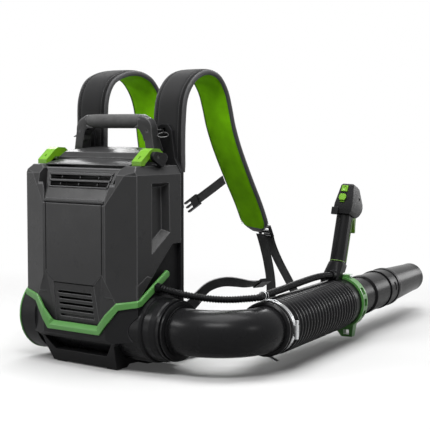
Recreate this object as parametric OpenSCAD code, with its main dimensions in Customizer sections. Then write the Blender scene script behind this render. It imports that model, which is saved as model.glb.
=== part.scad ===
// Backpack leaf blower: battery housing on a skid base, axial fan, swivel elbow,
// ribbed hose, straight wand with a control handle, and a padded harness.
// X points to the wearer's right, -Y away from the wearer, Z up, floor at Z = 0.

/* [Housing] */
// Width across the two front ridges
housing_w = 300; // [290:1:310]
// Height of the shoulders above the floor
shoulder_z = 389; // [386:1:392]
// How far the side ridges lie behind the front face
ridge_back = 19; // [15:1:22]
// Wall of the moulded shells
wall = 3; // [2.4:0.2:3.4]
// Width of the flat front panel
panel_w = 152; // [148:1:154]
// Proud height of the coloured trim band
band_proud = 3.5; // [2.5:0.5:4]

/* [Fan] */
// Height of the fan axis above the floor
fan_z = 82; // [80:1:84]
// Inner radius of the fan duct
duct_r = 62; // [60:1:62]
// Number of impeller blades
blade_count = 9; // [7:1:10]
// Number of slots across the intake grille, one side
grille_rows = 6; // [4:1:7]

/* [Air path] */
// Outer radius of the elbow pipe
elbow_r = 44; // [42:1:45]
// Radius of the elbow's bend, at its centre line
elbow_bend = 91; // [88:1:94]
// Outer radius of the hose over its ribs
hose_r = 54; // [52:1:55]
// Number of ribs on the hose
hose_ribs = 21; // [16:1:24]
// Outer radius of the upper wand tube
tube_r = 42; // [41:1:43]
// Outer radius at the nozzle's mouth
mouth_r = 35; // [33:1:37]
// Distance from the swivel ring to the nozzle's mouth
wand_len = 497; // [485:1:505]

/* [Handle] */
// Forward lean of the control handle, in degrees
handle_lean = 17; // [14:1:18]
// Length of the control handle's grip
grip_len = 106; // [103:1:108]

/* [Harness] */
// Width of a shoulder strap
strap_w = 82; // [76:1:84]
// Thickness of a shoulder strap
strap_t = 15; // [12:1:16]
// Distance of each strap from the middle
strap_x = 105; // [102:1:107]
// Width of the webbing
webbing_w = 25; // [20:1:25]
// Thickness of the webbing
webbing_t = 2; // [1.6:0.2:2.4]

/* [Hidden] */
$fn = 64;

front_y = -90;
back_y = 52;
half_w = housing_w / 2;
ridge_y = front_y + ridge_back;
facet_x = 84;
fan_y = -11;
gap = 0.4;
foot_h = 2.5;
intake_z = fan_z + 6;
drum_r = 74;
lid_hinge_y = front_y + 4;
lid_hinge_z = 320.6;
latch_y = 4;
latch_z = 404;
elbow_x = 225;
turn = 13.5;
elbow_y = fan_y + elbow_bend * (1 + sin(turn));
end_x = elbow_x + elbow_bend * cos(turn);
hose_len = 366;
cuff_r = 52;
ring_y = 415;
mouth_y = ring_y + wand_len;
handle_y = ring_y - 36;
neck_z = 89;
head_z = neck_z + grip_len;
face_tilt = atan2(11.4, 56);
gland_y = -20;
gland_z = 160;
cable_r = 7;
x_dir = [1, 0, 0];
twisted = [0.98, -0.2, 0];
shell_col = "#3a3b3d";
dark_col = "#232425";
black_col = "#18191a";
lime_col = "#77c41f";
green_col = "#3f8a35";
steel_col = "silver";
// Shoulder straps: up the back, over the shoulder, down the chest. The left hangs steeper.
strap_top = [[strap_x, 68, 375], [strap_x, 68, 425], [strap_x, 70, 470], [strap_x, 77, 517],
    [strap_x, 98, 549], [strap_x, 124, 565], [strap_x, 152, 569], [strap_x, 181, 559],
    [strap_x, 203, 533], [strap_x, 216, 500], [strap_x, 228, 462], [strap_x, 250, 415]];
right_line = smooth(concat(strap_top, [[strap_x, 286, 354], [strap_x, 323, 295], [strap_x, 350, 242]]), 2);
left_line = smooth([[strap_x, 68, 375], [strap_x, 68.4, 425], [strap_x, 69, 470], [strap_x, 72, 517],
    [strap_x, 88, 550], [strap_x, 116, 566], [strap_x, 150, 573], [strap_x, 180, 570],
    [strap_x, 206, 558], [strap_x, 228, 533], [strap_x, 241, 503], [strap_x, 249, 462],
    [strap_x, 257, 415], [strap_x, 270, 354], [strap_x, 284, 295], [strap_x, 292, 238]], 2);
// Slack strands from the straps' ends to the foot of the frame, and their loose tails
slack_right = smooth([[107, 360, 234], [107, 366, 222], [108, 375, 198], [108, 385, 170], [108, 394, 134],
    [107, 397, 100], [106, 390, 62], [105, 368, 30], [104, 330, 12], [104, 280, 5], [104, 220, 4],
    [105, 160, 6], [105, 105, 14], [105, 76, 28], [105, 61.6, 36.5]], 2);
tail_right = smooth([[112, 380.2, 234.2], [112, 393.4, 206], [112, 419, 169], [112, 456, 124], [111, 478, 96],
    [109, 492, 62], [106, 490, 30], [102, 474, 8], [97, 446, 4]], 2);
slack_left = smooth([[107, 297, 227], [107, 301, 208], [108, 308, 170], [108, 313, 134],
    [107, 315, 100], [106, 311, 62], [105, 298, 30], [104, 268, 12], [104, 236, 5], [104, 196, 4],
    [105, 150, 6], [105, 105, 14], [105, 76, 28], [105, 61.6, 36.5]], 2);
tail_left = smooth([[110, 312, 218], [110, 318, 186], [110, 325, 150], [110, 329, 110], [109, 331, 70],
    [108, 334, 40], [107, 343, 16], [105, 362, 5], [102, 388, 4]], 2);
// Chest webbing and waist belt
sternum_line = [[61, 292, 351], [35, 292, 334.6], [10, 291.4, 319], [-8, 291, 308]];
belt_line = smooth([[125, 62, 104], [131, 80, 106], [138, 98, 115], [147, 111, 132], [155, 124, 146],
    [162, 142, 153], [168, 168, 155], [174, 196, 151], [180, 222, 146], [184.8, 246, 145]], 2);
// Cable, from the gland over the elbow to the first tie, then along the hose to the handle
lower_route = smooth([[half_w + 14, gland_y, gland_z], [half_w + 28, gland_y + 2, gland_z - 2.5],
    [204, -3, 150], [234, 26, 142.5], [264, 54, 139.5], [291, 74, 141.5], from_along([-6, -12, 62]),
    from_along([-6, 9.2, 63])], 3);
upper_route = smooth([[-6, 10.8, 63], [-6, 40, 63.5], [-6, 70, 64], [-6, 105, 64.5], [-5, 155, 66.5],
    [-4, 220, 68.5], [-4, 270, 69], [-4, 315, 67.5], [-4, 345, 64.6], [-4, hose_len - 4, 64]], 3);

// ---- shared shapes -----------------------------------------------------------------

// Extrudes an outline drawn in X and Z from y0 to y1
module front_cut(y0, y1) {
    translate([0, y1, 0]) rotate([90, 0, 0]) linear_extrude(y1 - y0) children();
}

// Extrudes an outline drawn in Y and Z from x0 to x1
module side_cut(x0, x1) {
    translate([x0, 0, 0]) rotate([90, 0, 90]) linear_extrude(x1 - x0) children();
}

// Repeats a shape on the other side of the middle plane
module both_sides() {
    children();
    mirror([1, 0, 0]) children();
}

// A profile in radius and X, turned about the fan axis
module turned_x() {
    translate([0, fan_y, fan_z]) rotate([0, 90, 0]) rotate_extrude() children();
}

// An outline given for the right half, closed over the middle
function mirrored(pts) = concat(pts, [for (i = [len(pts) - 1 : -1 : 0]) [-pts[i][0], pts[i][1]]]);

// Unit vector
function unit(v) = v / norm(v);

// Catmull-Rom point between p1 and p2
function curve_point(p0, p1, p2, p3, t) =
    0.5 * (2 * p1 + (p2 - p0) * t + (2 * p0 - 5 * p1 + 4 * p2 - p3) * t * t
    + (3 * p1 - p0 - 3 * p2 + p3) * t * t * t);

// A smooth line through the given points, with n steps for each span
function smooth(pts, n) = [
    for (i = [0 : len(pts) - 2]) for (k = [0 : n - 1])
        curve_point(pts[max(i - 1, 0)], pts[i], pts[i + 1], pts[min(i + 2, len(pts) - 1)], k / n),
    pts[len(pts) - 1]];

// Direction of a line at its point i
function heading(p, i) = unit(p[min(i + 1, len(p) - 1)] - p[max(i - 1, 0)]);

// Skins a stack of rings, each with the same number of points
module skin(rings) {
    n = len(rings[0]);
    m = len(rings);
    polyhedron(
        points = [for (r = rings) for (p = r) p],
        faces = concat(
            [[for (j = [0 : n - 1]) j]],
            [for (i = [0 : m - 2]) for (j = [0 : n - 1])
                [i * n + j, (i + 1) * n + j, (i + 1) * n + (j + 1) % n]],
            [for (i = [0 : m - 2]) for (j = [0 : n - 1])
                [i * n + j, (i + 1) * n + (j + 1) % n, i * n + (j + 1) % n]],
            [[for (j = [n - 1 : -1 : 0]) (m - 1) * n + j]]));
}

// A flat band swept along a line. Its width points along s0 at the start and s1 at the
// end, c rounds its edges, and head and tail narrow its first and last rings.
module band_sweep(line, s0, s1, w, t, c, head, tail) {
    last = len(line) - 1;
    skin([for (i = [0 : last])
        let (d = heading(line, i), g = s0 * (1 - i / last) + s1 * i / last,
            s = unit(g - (g * d) * d), n = cross(d, s),
            f = min(head[min(i, len(head) - 1)], tail[min(last - i, len(tail) - 1)]),
            a = w * f / 2, b = t / 2, e = min(c, b * 0.8, a * 0.8))
        [for (q = [[a, -b + e], [a, b - e], [a - e, b], [-a + e, b],
                [-a, b - e], [-a, -b + e], [-a + e, -b], [a - e, -b]])
            line[i] + q[0] * s + q[1] * n]]);
}

// A round tube swept along a line
module tube_sweep(line, r, sides) {
    last = len(line) - 1;
    skin([for (i = [0 : last])
        let (d = heading(line, i), s = unit(cross(d, [0.02, 0.01, 1])), n = cross(d, s))
        [for (k = [0 : sides - 1]) line[i] + r * (cos(360 * k / sides) * s + sin(360 * k / sides) * n)]]);
}

// ---- housing -----------------------------------------------------------------------

// Plan of the housing, grown by o
function plan(o) = mirrored([[facet_x + 0.15 * o, front_y - o], [half_w + o, ridge_y - 0.85 * o],
    [half_w + o, back_y]]);

// Front view of the upper housing, from its lower edge to the chamfered shoulders
function upper_front(o) = mirrored([[0, 176], [54.2, 163], [59.2, 86.5], [60.4, 86.5],
    [107.4, 134], [half_w + 5, 141.5], [half_w + 5, shoulder_z - 16], [half_w, shoulder_z - 16],
    [half_w - 11 - o, shoulder_z - o]]);

// Side view of the front and top of the housing, grown by -o
function upper_side(o) = [[front_y + o, 0], [front_y + o, 316], [front_y + 11.4 + o, shoulder_z - 16],
    [front_y + 28 + o, shoulder_z - o], [back_y, shoulder_z - o], [back_y, 0]];

// The sides' sloping lower edge, in side view
module side_skirt() {
    polygon([[ridge_y - 30, 141], [ridge_y + 4, 141], [-13, 198], [28, 240], [back_y + 1, 240],
        [back_y + 1, 450], [ridge_y - 30, 450]]);
}

// The housing's outer body before any opening is cut
module upper_block(o) {
    intersection() {
        translate([0, 0, 80]) linear_extrude(340) polygon(plan(-o));
        front_cut(-120, back_y + 1) polygon(upper_front(o));
        side_cut(-160, 160) polygon(upper_side(o));
        side_cut(-160, 160) side_skirt();
    }
}

// Front view of the lid, grown by o
function lid_front(o) = mirrored([[81.6 + o, 316.3 - o], [81.9 + o, 322.8], [97 + o, 379], [113 + o, 388], [113 + o, 450]]);

// The raised deck behind the lid that carries the handle
module rear_deck() {
    intersection() {
        side_cut(-112, 112) polygon([[-19, 380], [-19, 403], [-13, 413], [6, 419], [30, 423],
            [46, 420], [50, 412], [50, 380]]);
        front_cut(-20, 51) polygon(mirrored([[112, 380], [112, 402], [98, 416], [60, 422], [20, 424]]));
    }
}

module housing_shell() {
    color(shell_col) difference() {
        union() {
            upper_block(0);
            rear_deck();
        }
        // seat of the flat front panel
        front_cut(front_y - 1, front_y + wall)
            polygon(mirrored([[panel_w / 2 + gap, 316 + gap], [panel_w / 2 + gap, 184],
                [54 + gap, 162 - gap]]));
        // mouth of the battery bay and the lid's seat
        front_cut(front_y - 1, -19.5) polygon(lid_front(gap));
        // battery bay
        translate([-104, front_y + 8, 172]) cube([208, 62, 240]);
        // hollow behind the bay, which carries the wiring
        translate([-132, -14, 172]) cube([264, 58, 200]);
        translate([-100, -14, 300]) cube([200, 56, 104]);
        // the two sloping cheeks beside the louvre panel
        both_sides() hull() for (p = [[76, front_y, 185], [54, front_y, 163], [59, -79, 86], [107, -85, 131]])
            for (y = [p[1], front_y - 20]) translate([p[0], y, p[2]]) cube(0.02);
        // pocket in each side, with its sloping lower edge
        both_sides() side_pocket(0);
        // bores of the lid's hinge pins
        translate([-104, lid_hinge_y, lid_hinge_z]) rotate([0, 90, 0]) cylinder(r = 1.6, h = 208);
        // clearance for the fan duct
        translate([-160, fan_y, fan_z + 5]) rotate([0, 90, 0]) cylinder(r = 92, h = 320);
        // slots for the latch pins
        both_sides() translate([110, latch_y, latch_z]) rotate([0, 90, 0]) cylinder(r = 2, h = 50);
    }
}

// The recess in a side face, and the thin moulding lip round it when grow > 0
module side_pocket(grow) {
    hull() {
        side_cut(half_w - 0.1, half_w + 4) polygon([[-30 - grow, 357 + grow], [18 + grow, 357 + grow],
            [20 + grow, 262 - grow], [-31 - grow, 224 - 1.6 * grow]]);
        side_cut(half_w - 16, half_w - 15) polygon([[-22, 349], [12, 349], [13, 268], [-23, 242]]);
    }
}

module front_panel() {
    color(shell_col) front_cut(front_y, front_y + wall)
        polygon(mirrored([[panel_w / 2, 316], [panel_w / 2, 184.5], [54, 162.4]]));
}

module louvre_panel() {
    color(dark_col) difference() {
        intersection() {
            side_cut(-60, 60) polygon([[front_y + 0.5, 161.8], [front_y + 7, 161.8], [-68, 80], [-77.6, 80]]);
            front_cut(-100, -50) polygon(mirrored([[53.8, 162.4], [58.8, 86], [58.8, 79]]));
        }
        // hollow back, round the fan duct
        translate([-70, fan_y, fan_z]) rotate([0, 90, 0]) cylinder(r = duct_r + 3.3, h = 140);
        // louvre openings that look down, each under its own hood
        for (i = [0 : 4]) let (z = 148 - 11.6 * i) translate([0, 0.2 * (148 - z), 0])
            side_cut(-46, 46) polygon([[front_y - 3, z], [front_y - 3, z - 4.5], [front_y + 20, z - 9],
                [front_y + 20, z - 5]]);
    }
}

module trim_band() {
    color(green_col) difference() {
        union() {
            // front run: from the ridges down, along the chin and up again
            intersection() {
                translate([0, 0, 50]) linear_extrude(160) polygon(plan(band_proud));
                front_cut(-120, -60) polygon(mirrored([[60, 86], [107, 133.5], [half_w + 8, 141],
                    [half_w + 8, 129], [112, 120], [70, 70]]));
            }
            // side runs, rising to their rounded ends
            intersection() {
                translate([0, 0, 50]) linear_extrude(160) polygon(plan(band_proud));
                both_sides() side_cut(half_w - 6, half_w + 6) band_side();
            }
        }
        // the band is a shallow channel behind, deeper under the chin
        translate([0, 0, 92]) linear_extrude(120) polygon(plan(-2.5));
        translate([-80, -83, 60]) cube([160, 100, 40]);
        both_sides() translate([75, -88, 60]) cube([90, 100, 32.1]);
        // the left run stops at the intake drum, the right run passes under the cable gland
        translate([-half_w - 7, fan_y, intake_z]) rotate([0, 90, 0]) cylinder(r = drum_r + 0.4, h = 42);
        translate([half_w - 12, gland_y, gland_z]) rotate([0, 90, 0]) cylinder(r = 8.8, h = 30);
        // bevel along the top of the chin
        side_cut(-75, 75) polygon([[front_y - 5, 77], [front_y - 5, 90], [-84, 90], [-84, 86.2]]);
    }
}

// Side view of the band
module band_side() {
    polygon([[ridge_y - 9, 141], [ridge_y + 5, 141], [10, 191], [15, 187.6], [15.6, 183],
        [13, 178], [ridge_y + 9, 129], [ridge_y - 9, 129]]);
}

module base_housing() {
    color(dark_col) difference() {
        union() {
            intersection() {
                linear_extrude(260) polygon(plan(0));
                front_cut(-120, back_y + 1) polygon(mirrored([[0, 69.7], [70.1, 69.7], [112.2, 119.6],
                    [half_w + 5, 128], [half_w + 5, 74], [half_w, 74], [half_w - 10, 62], [104, 57],
                    [97, 50], [86, 0]]));
                side_cut(-160, 160) polygon([[-61, foot_h], [-71.5, 26], [-82, 54], [front_y, 62],
                    [front_y, 150], [back_y, 150], [back_y, 8], [back_y - 6, foot_h]]);
            }
            // recessed side walls between the band and the upper housing
            intersection() {
                translate([-half_w + 9, -64, 100]) cube([housing_w - 18, back_y + 64, 140]);
                side_cut(-160, 160) polygon([[-64, 100], [-64, 143.5], [-13, 197.4], [28, 239.4],
                    [back_y, 239.4], [back_y, 100]]);
            }
            // cheeks that rise behind the band's side runs
            intersection() {
                linear_extrude(260) polygon(plan(0));
                both_sides() side_cut(half_w - 9, half_w) polygon([[ridge_y, 122], [ridge_y, 125.3],
                    [-69, 125.3], [-69, 126.5], [-59.7, 126.5], [-59.7, 130], [13, 177.7], [18, 177.7], [18, 122]]);
            }
            // intake drum on the left
            translate([-half_w - 6, fan_y, intake_z]) rotate([0, 90, 0]) cylinder(r = drum_r, h = 40);
        }
        // flat back of the drum, where the backplate covers it
        translate([-half_w - 0.3, back_y, 0]) cube([60, 30, 200]);
        // seat of the cable gland
        translate([half_w - 12, gland_y, gland_z]) rotate([0, 90, 0]) cylinder(r = 8.8, h = 30);
        // carrying slot in the front of the skid
        hull() {
            front_cut(-100, -99) polygon(mirrored([[95, 55], [72, 25]]));
            front_cut(-31, -30) polygon(mirrored([[84, 50], [66, 30]]));
        }
        // tunnel for the fan duct, with a bell mouth on the left
        translate([-140, fan_y, fan_z]) rotate([0, 90, 0]) cylinder(r = duct_r + 3.3, h = 300);
        translate([-half_w - 7, fan_y, fan_z]) rotate([0, 90, 0]) cylinder(r1 = 68, r2 = duct_r, h = 18);
        // hollow above the tunnel
        translate([-136, -58, 152]) cube([272, 104, 100]);
        // arch under the base between the two runners
        side_cut(-160, 160) polygon([[-36, -1], [-28, 9], [28, 9], [36, -1]]);
    }
}

module rubber_feet() {
    color(black_col) both_sides() for (y = [-57, 30]) translate([56, y, 0]) difference() {
        cube([26, 14, foot_h]);
        // tread grooves
        for (x = [6 : 7 : 20]) translate([x, -1, -1]) cube([1.5, 16, 1.8]);
    }
    // middle pad, on the frame's origin
    color(black_col) translate([-18, -8, 0]) cube([36, 16, foot_h]);
}

module fan_duct() {
    color(black_col) difference() {
        turned_x() polygon([[duct_r, -138], [duct_r + 3, -138], [duct_r + 3, 155], [duct_r + 1.6, 160],
            [60.5, 161], [60, 176], [58, 187], [56, 190], [56, 192], [58, 193], [58, 198], [53.6, 198.4],
            [53.6, 201], [56, 201.6], [56, 205], [50, 206], [elbow_r + 0.5, 206], [elbow_r + 0.5, 194],
            [54, 184], [56, 166], [57, 156], [duct_r, 144]]);
    }
}

// ---- fan ---------------------------------------------------------------------------

module intake_ring() {
    color(green_col) translate([-half_w - 9, fan_y, intake_z]) rotate([0, 90, 0]) difference() {
        cylinder(r = drum_r + 1.2, h = 3);
        translate([0, 0, -1]) cylinder(r = drum_r - 3, h = 5);
    }
}

module intake_grille() {
    color(black_col) translate([-half_w - 9, fan_y, intake_z]) rotate([0, 90, 0]) difference() {
        union() {
            difference() {
                cylinder(r = drum_r - 3.3, h = 3);
                for (r = [20 : 9 : 64]) translate([0, 0, -1]) difference() {
                    cylinder(r = r + 3, h = 5);
                    cylinder(r = r - 3, h = 5);
                }
            }
            for (a = [0 : 45 : 315]) rotate([0, 0, a]) translate([16, -1.6, 0.4]) cube([50, 3.2, 2.4]);
        }
        // bore for the grille's centre screw
        translate([0, 0, -1]) cylinder(r = 2.2, h = 5);
    }
}

module impeller() {
    color("#4a4c4f") difference() {
        turned_x_at(-58) union() {
            rotate([0, 0, 180 / blade_count]) cylinder(r = 30, h = 34);
            // blades: flat plates set across the hub
            for (i = [0 : blade_count - 1]) rotate([0, 0, 360 * i / blade_count])
                intersection() {
                    translate([27, 0, 17]) rotate([32, 0, 0]) translate([0, -1.3, -30]) cube([45, 2.6, 60]);
                    translate([0, 0, 6]) rotate([0, 0, 180]) cylinder(r = duct_r - 1.5, h = 22);
                }
        }
        turned_x_at(-80) cylinder(r = 4, h = 60);
        // hollow back of the hub
        turned_x_at(-50) cylinder(r = 26, h = 40);
    }
}

// Places a shape on the fan axis, with its own Z along X, starting at x
module turned_x_at(x) {
    translate([x, fan_y, fan_z]) rotate([0, 90, 0]) children();
}

module fan_shaft() {
    color(steel_col) turned_x_at(-66) union() {
        cylinder(r = 3.98, h = 136);
        // nut that holds the impeller
        cylinder(r = 8, h = 7.7, $fn = 6);
    }
}

module shaft_bearings() {
    color(steel_col) for (x = [-14, 52]) turned_x_at(x) difference() {
        cylinder(r = 11, h = 7);
        translate([0, 0, -1]) cylinder(r = 4.02, h = 9);
    }
}

module motor() {
    color("#55585c") difference() {
        union() {
            turned_x_at(-16) cylinder(r = 29, h = 78);
            // cooling ribs
            for (i = [0 : 5]) turned_x_at(-8 + 11 * i) cylinder(r = 30.4, h = 4);
        }
        for (x = [-17, 52]) turned_x_at(x) cylinder(r = 11.02, h = 10.2);
        turned_x_at(-20) cylinder(r = 8, h = 90);
    }
}

module stator_vanes() {
    color(black_col) difference() {
        union() {
            turned_x_at(-18) cylinder(r = 34, h = 84);
            for (i = [0 : 6]) turned_x_at(4) rotate([0, 0, 360 * i / 7])
                translate([30, -1.2, 0]) cube([duct_r - 30.2, 2.4, 52]);
        }
        turned_x_at(-19) cylinder(r = 30.6, h = 82);
        turned_x_at(60) cylinder(r = 6, h = 20);
    }
}

module controller() {
    color("#6b6f73") translate([-60, -8, 178]) difference() {
        cube([120, 40, 26]);
        // cooling fins
        for (x = [8 : 12 : 104]) translate([x, -1, 12]) cube([6, 42, 16]);
    }
}

// ---- batteries and lid -------------------------------------------------------------

module battery(x) {
    color("#26282a") translate([x, front_y + 12, 186]) difference() {
        union() {
            cube([90, 52, 127]);
            translate([23, 6, 127]) cube([44, 40, 7]);
        }
        // finger groove across the top and the dock's blade slots
        translate([28, 16, 130]) cube([34, 20, 5]);
        for (i = [0 : 3]) translate([18 + 15 * i, 30, -1]) cube([3, 14, 12]);
    }
}

module battery_left() {
    battery(-97);
}

module battery_right() {
    battery(7);
}

module battery_dock() {
    color(black_col) union() {
        translate([-100, front_y + 10, 174]) cube([200, 56, 11.6]);
        // contact blades
        for (x = [-97, 7], i = [0 : 3]) translate([x + 18.5 + 15 * i, front_y + 44, 185])
            cube([2, 10, 9]);
    }
}

// Side view of the lid, thinned by o: chamfer, grille face, then the top up to the step
function lid_side(o) = [[front_y + o, 316.3 + o * 0.4], [-77.4 + o, 343], [-64.6 + o, 378.6 - o * 0.3],
    [-59 + o, 387 - o], [-42, 394.5 - o], [-20 - o, 400.5 - o]];

module lid_body(o) {
    intersection() {
        side_cut(-120, 120) polygon(concat(lid_side(o), [[-20 - o, 300], [front_y + o, 300]]));
        front_cut(-100, 0) polygon(mirrored([[79.6 - o, 316.3], [96.6 - o, 379], [112.6 - o, 388],
            [112.6 - o, 392 - o], [100, 398 - o], [50, 401 - o]]));
    }
}

module battery_lid() {
    color(shell_col) difference() {
        union() {
            difference() {
                lid_body(0);
                lid_body(wall);
                // open under its rim, and clear of the shoulders
                translate([-120, -83, 300]) cube([240, 90, 16.3]);
                side_cut(-125, 125) polygon([[-74, 300], [-60, 389.4], [-10, 389.4], [-10, 300]]);
                // corner that turns down as the lid opens
                translate([-120, front_y - 1, 300]) cube([240, 5, lid_hinge_z - 300]);
            }
            // knuckle along the front edge
            translate([-79.2, lid_hinge_y, lid_hinge_z]) rotate([0, 90, 0]) cylinder(r = 4, h = 158.4);
        }
        translate([-95, lid_hinge_y, lid_hinge_z]) rotate([0, 90, 0]) cylinder(r = 1.52, h = 190);
        // window for the grille
        grille_frame() translate([0, 5, 0]) rotate([90, 0, 0]) linear_extrude(12)
            polygon(mirrored([[80.4, 2.6], [88.4, 34.4]]));
    }
}

// Local frame in the lid's sloping front: X across, Z up the slope
module grille_frame() {
    translate([0, -77.4, 343]) rotate([-atan2(12.8, 35.6), 0, 0]) children();
}

module lid_grille() {
    color(black_col) grille_frame() difference() {
        union() {
            translate([0, 2.6, 0]) rotate([90, 0, 0]) linear_extrude(2.6)
                polygon(mirrored([[80, 3], [88, 34]]));
        }
        // two wide slots, each split by a thin blade
        for (q = [[4.6, 8.8, 78.6, 79.8], [10.4, 14.4, 80.2, 81.4], [19, 23.2, 82.4, 83.4],
                [24.8, 28.8, 83.8, 84.8]])
            translate([0, 5, 0]) rotate([90, 0, 0]) linear_extrude(8) difference() {
                polygon(mirrored([[q[2], q[0]], [q[3], q[1]]]));
                // small ribs that cross each slot
                for (x = [-50, 0, 50]) translate([x - 1, 0]) square([2, 40]);
            }
    }
}

module lid_hinge_pins() {
    color(steel_col) both_sides() translate([62, lid_hinge_y, lid_hinge_z]) rotate([0, 90, 0])
        cylinder(r = 1.5, h = 30);
}

module latch() {
    color(lime_col) difference() {
        union() {
            side_cut(116, 140.6) polygon([[-49, 389.6], [-49, 398], [-25, 418], [-16, 422], [2, 421],
                [11, 414], [12.5, 404], [9, 396], [4, 395], [-6, 397], [-14, 403], [-26, 403],
                [-38, 393], [-40, 389.6]]);
        }
        // pivot bore and the small slot in the sloping face
        translate([110, latch_y, latch_z]) rotate([0, 90, 0]) cylinder(r = 2.05, h = 40);
        translate([126, -44, 404]) rotate([39.8, 0, 0]) translate([0, 0, -3]) cube([4, 7, 12]);
        // hollow underside
        side_cut(118.5, 138) polygon([[-36, 385], [-38, 392], [-27, 401], [-14, 401], [-8, 396], [-8, 385]]);
    }
}

module latch_left() {
    mirror([1, 0, 0]) latch();
}

module latch_right() {
    latch();
}

// Black side blocks that carry the latch pivots, one at each shoulder
module latch_catches() {
    color(black_col) both_sides() difference() {
        union() {
            hull() {
                translate([141, -16, 407]) rotate([0, 90, 0]) cylinder(r = 9, h = 8, $fn = 32);
                translate([141, 6, 404]) rotate([0, 90, 0]) cylinder(r = 9, h = 8, $fn = 32);
                translate([141, 2, 390.6]) rotate([0, 90, 0]) cylinder(r = 4, h = 8, $fn = 32);
            }
            // pivot pin
            translate([115.4, latch_y, latch_z]) rotate([0, 90, 0]) cylinder(r = 2, h = 30);
            // lug that stands on the shoulder
            translate([141, -6, shoulder_z]) cube([4, 16, 12]);
        }
        translate([146, -10, 406]) rotate([0, 90, 0]) cylinder(r = 3.4, h = 6);
    }
}

// ---- frame, handle and fasteners ---------------------------------------------------

module backplate() {
    color(black_col) difference() {
        front_cut(back_y, back_y + 8) polygon(mirrored([[0, 421], [82, 421], [84, 440], [92, 464],
            [98, 468], [116, 468], [126, 456], [134, 402], [half_w, 376], [half_w, 40], [140, 14],
            [112, foot_h], [70, foot_h], [60, 12], [0, 12]]));
        // harness eyelets and screw holes
        both_sides() {
            translate([107, back_y - 1, 455]) rotate([-90, 0, 0]) cylinder(r = 6, h = 10);
            for (z = [70, 150, 230, 310]) translate([half_w - 8, back_y - 1, z]) rotate([-90, 0, 0])
                cylinder(r = 2.2, h = 10);
            front_cut(back_y - 1, back_y + 9) translate([strap_x - 15, 34]) square([30, 5]);
            front_cut(back_y - 1, back_y + 9) translate([strap_x + 17, 88]) square([6, 32]);
            front_cut(back_y - 1, back_y + 9) translate([strap_x - 30, 372]) square([60, 6]);
        }
        // shallow recess round the fan duct
        translate([-139, fan_y, fan_z]) rotate([0, 90, 0]) cylinder(r = duct_r + 3.3, h = 300);
        // air gaps down the middle
        for (z = [120 : 36 : 340]) front_cut(back_y - 1, back_y + 9)
            polygon([[-44, z], [44, z], [36, z + 16], [-36, z + 16]]);
    }
}

module carry_handle() {
    color(shell_col) difference() {
        // two legs that lean in and round over into the bar
        both_sides() union() {
            hull() {
                translate([88, 21, 416]) cube([20, 27, 2]);
                translate([82, 21, 450]) cube([20, 18, 4]);
            }
            hull() {
                translate([82, 21, 450]) cube([20, 18, 4]);
                translate([79, 38, 458]) rotate([90, 0, 0]) cylinder(r = 23, h = 17, $fn = 32);
                translate([70, 29, 473.4]) rotate([0, 90, 0]) cylinder(r = 13.4, h = 6, $fn = 32);
            }
        }
        // holes of the grip screws, and the sockets that take the grip's ends
        both_sides() {
            translate([91.4, 20, 455]) rotate([-90, 0, 0]) cylinder(r = 3.2, h = 10);
            translate([69, 29, 473.4]) rotate([0, 90, 0]) cylinder(r = 8.4, h = 18);
        }
        // room for the grip
        translate([-70, 29, 473.4]) rotate([0, 90, 0]) cylinder(r = 14.3, h = 140);
        // opening between the legs
        both_sides() front_cut(0, 60) polygon([[40, 400], [40, 459.6], [68, 459.6], [74, 456], [80, 446],
            [87, 414], [87, 400]]);
        // legs stand on the deck
        both_sides() front_cut(0, 60) polygon([[60, 423], [60, 422.3], [98, 416.3], [112, 402.3],
            [112, 400], [130, 400], [130, 390], [50, 390], [50, 423]]);
    }
}

module handle_grip() {
    color(dark_col) translate([0, 29, 473.4]) rotate([0, 90, 0]) rotate_extrude() polygon([[0, -86.6],
        [8.3, -86.6], [8.3, -69.7], [13.2, -69.7], [13.4, -66], [14, -50], [14, 50], [13.4, 66],
        [13.2, 69.7], [8.3, 69.7], [8.3, 86.6], [0, 86.6]]);
}

module frame_screws() {
    color(steel_col) both_sides() {
        for (z = [70, 150, 230, 310]) translate([half_w - 8, back_y + 8, z]) rotate([-90, 0, 0])
            cylinder(r = 4, h = 1.8);
        translate([91.4, 21.6, 455]) rotate([-90, 0, 0]) cylinder(r = 3.1, h = 4);
    }
}

// Wire loops that stand out from the holes of the backplate's upper ears
module harness_rings() {
    color(black_col) both_sides() translate([107.4, back_y, 453]) rotate([0, 0, 33]) rotate([24, 0, 0]) {
        translate([0, -15.8, -1.1]) linear_extrude(2.2) difference() {
            union() {
                circle(11.6);
                translate([-3.3, 0]) square([6.6, 20.6]);
            }
            circle(9.4);
            translate([-1.1, 0]) square([2.2, 30]);
        }
    }
}

// ---- harness -----------------------------------------------------------------------

// A padded cushion in X and Z: crowned, with sides drawn in between its corners
function pad_edge(a, w, h) = let (c = cos(a), s = sin(a), k = pow(pow(abs(c), 5) + pow(abs(s), 5), -0.2))
    [w / 2 * k * c, h / 2 * k * s];

module pad(w, h, t, channels) {
    rings = [for (f = [0.01, 0.5, 0.82, 0.95, 1, 0.95, 0.82, 0.5, 0.01]) f];
    depth = [1, 0.97, 0.85, 0.5, 0, -0.25, -0.3, -0.3, -0.3];
    skin([for (i = [0 : 8]) [for (a = [0 : 12 : 348])
        let (p = pad_edge(a, w, h) * rings[i],
            dent = i < 3 ? 0.28 * channels * pow(cos(180 * p[1] / (h / 4)), 8) : 0)
        [p[0], t * (depth[i] - dent), p[1]]]]);
}

module back_pad() {
    color(black_col) translate([0, back_y + 8.4 + 0.3 * 26, 250]) pad(190, 250, 26, 1);
}

module shoulder_strap(line) {
    color(black_col) band_sweep(line, x_dir, twisted, strap_w, strap_t, 6, [1], [0.66, 0.88, 0.98, 1]);
}

module shoulder_strap_left() {
    mirror([1, 0, 0]) shoulder_strap(left_line);
}

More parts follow.
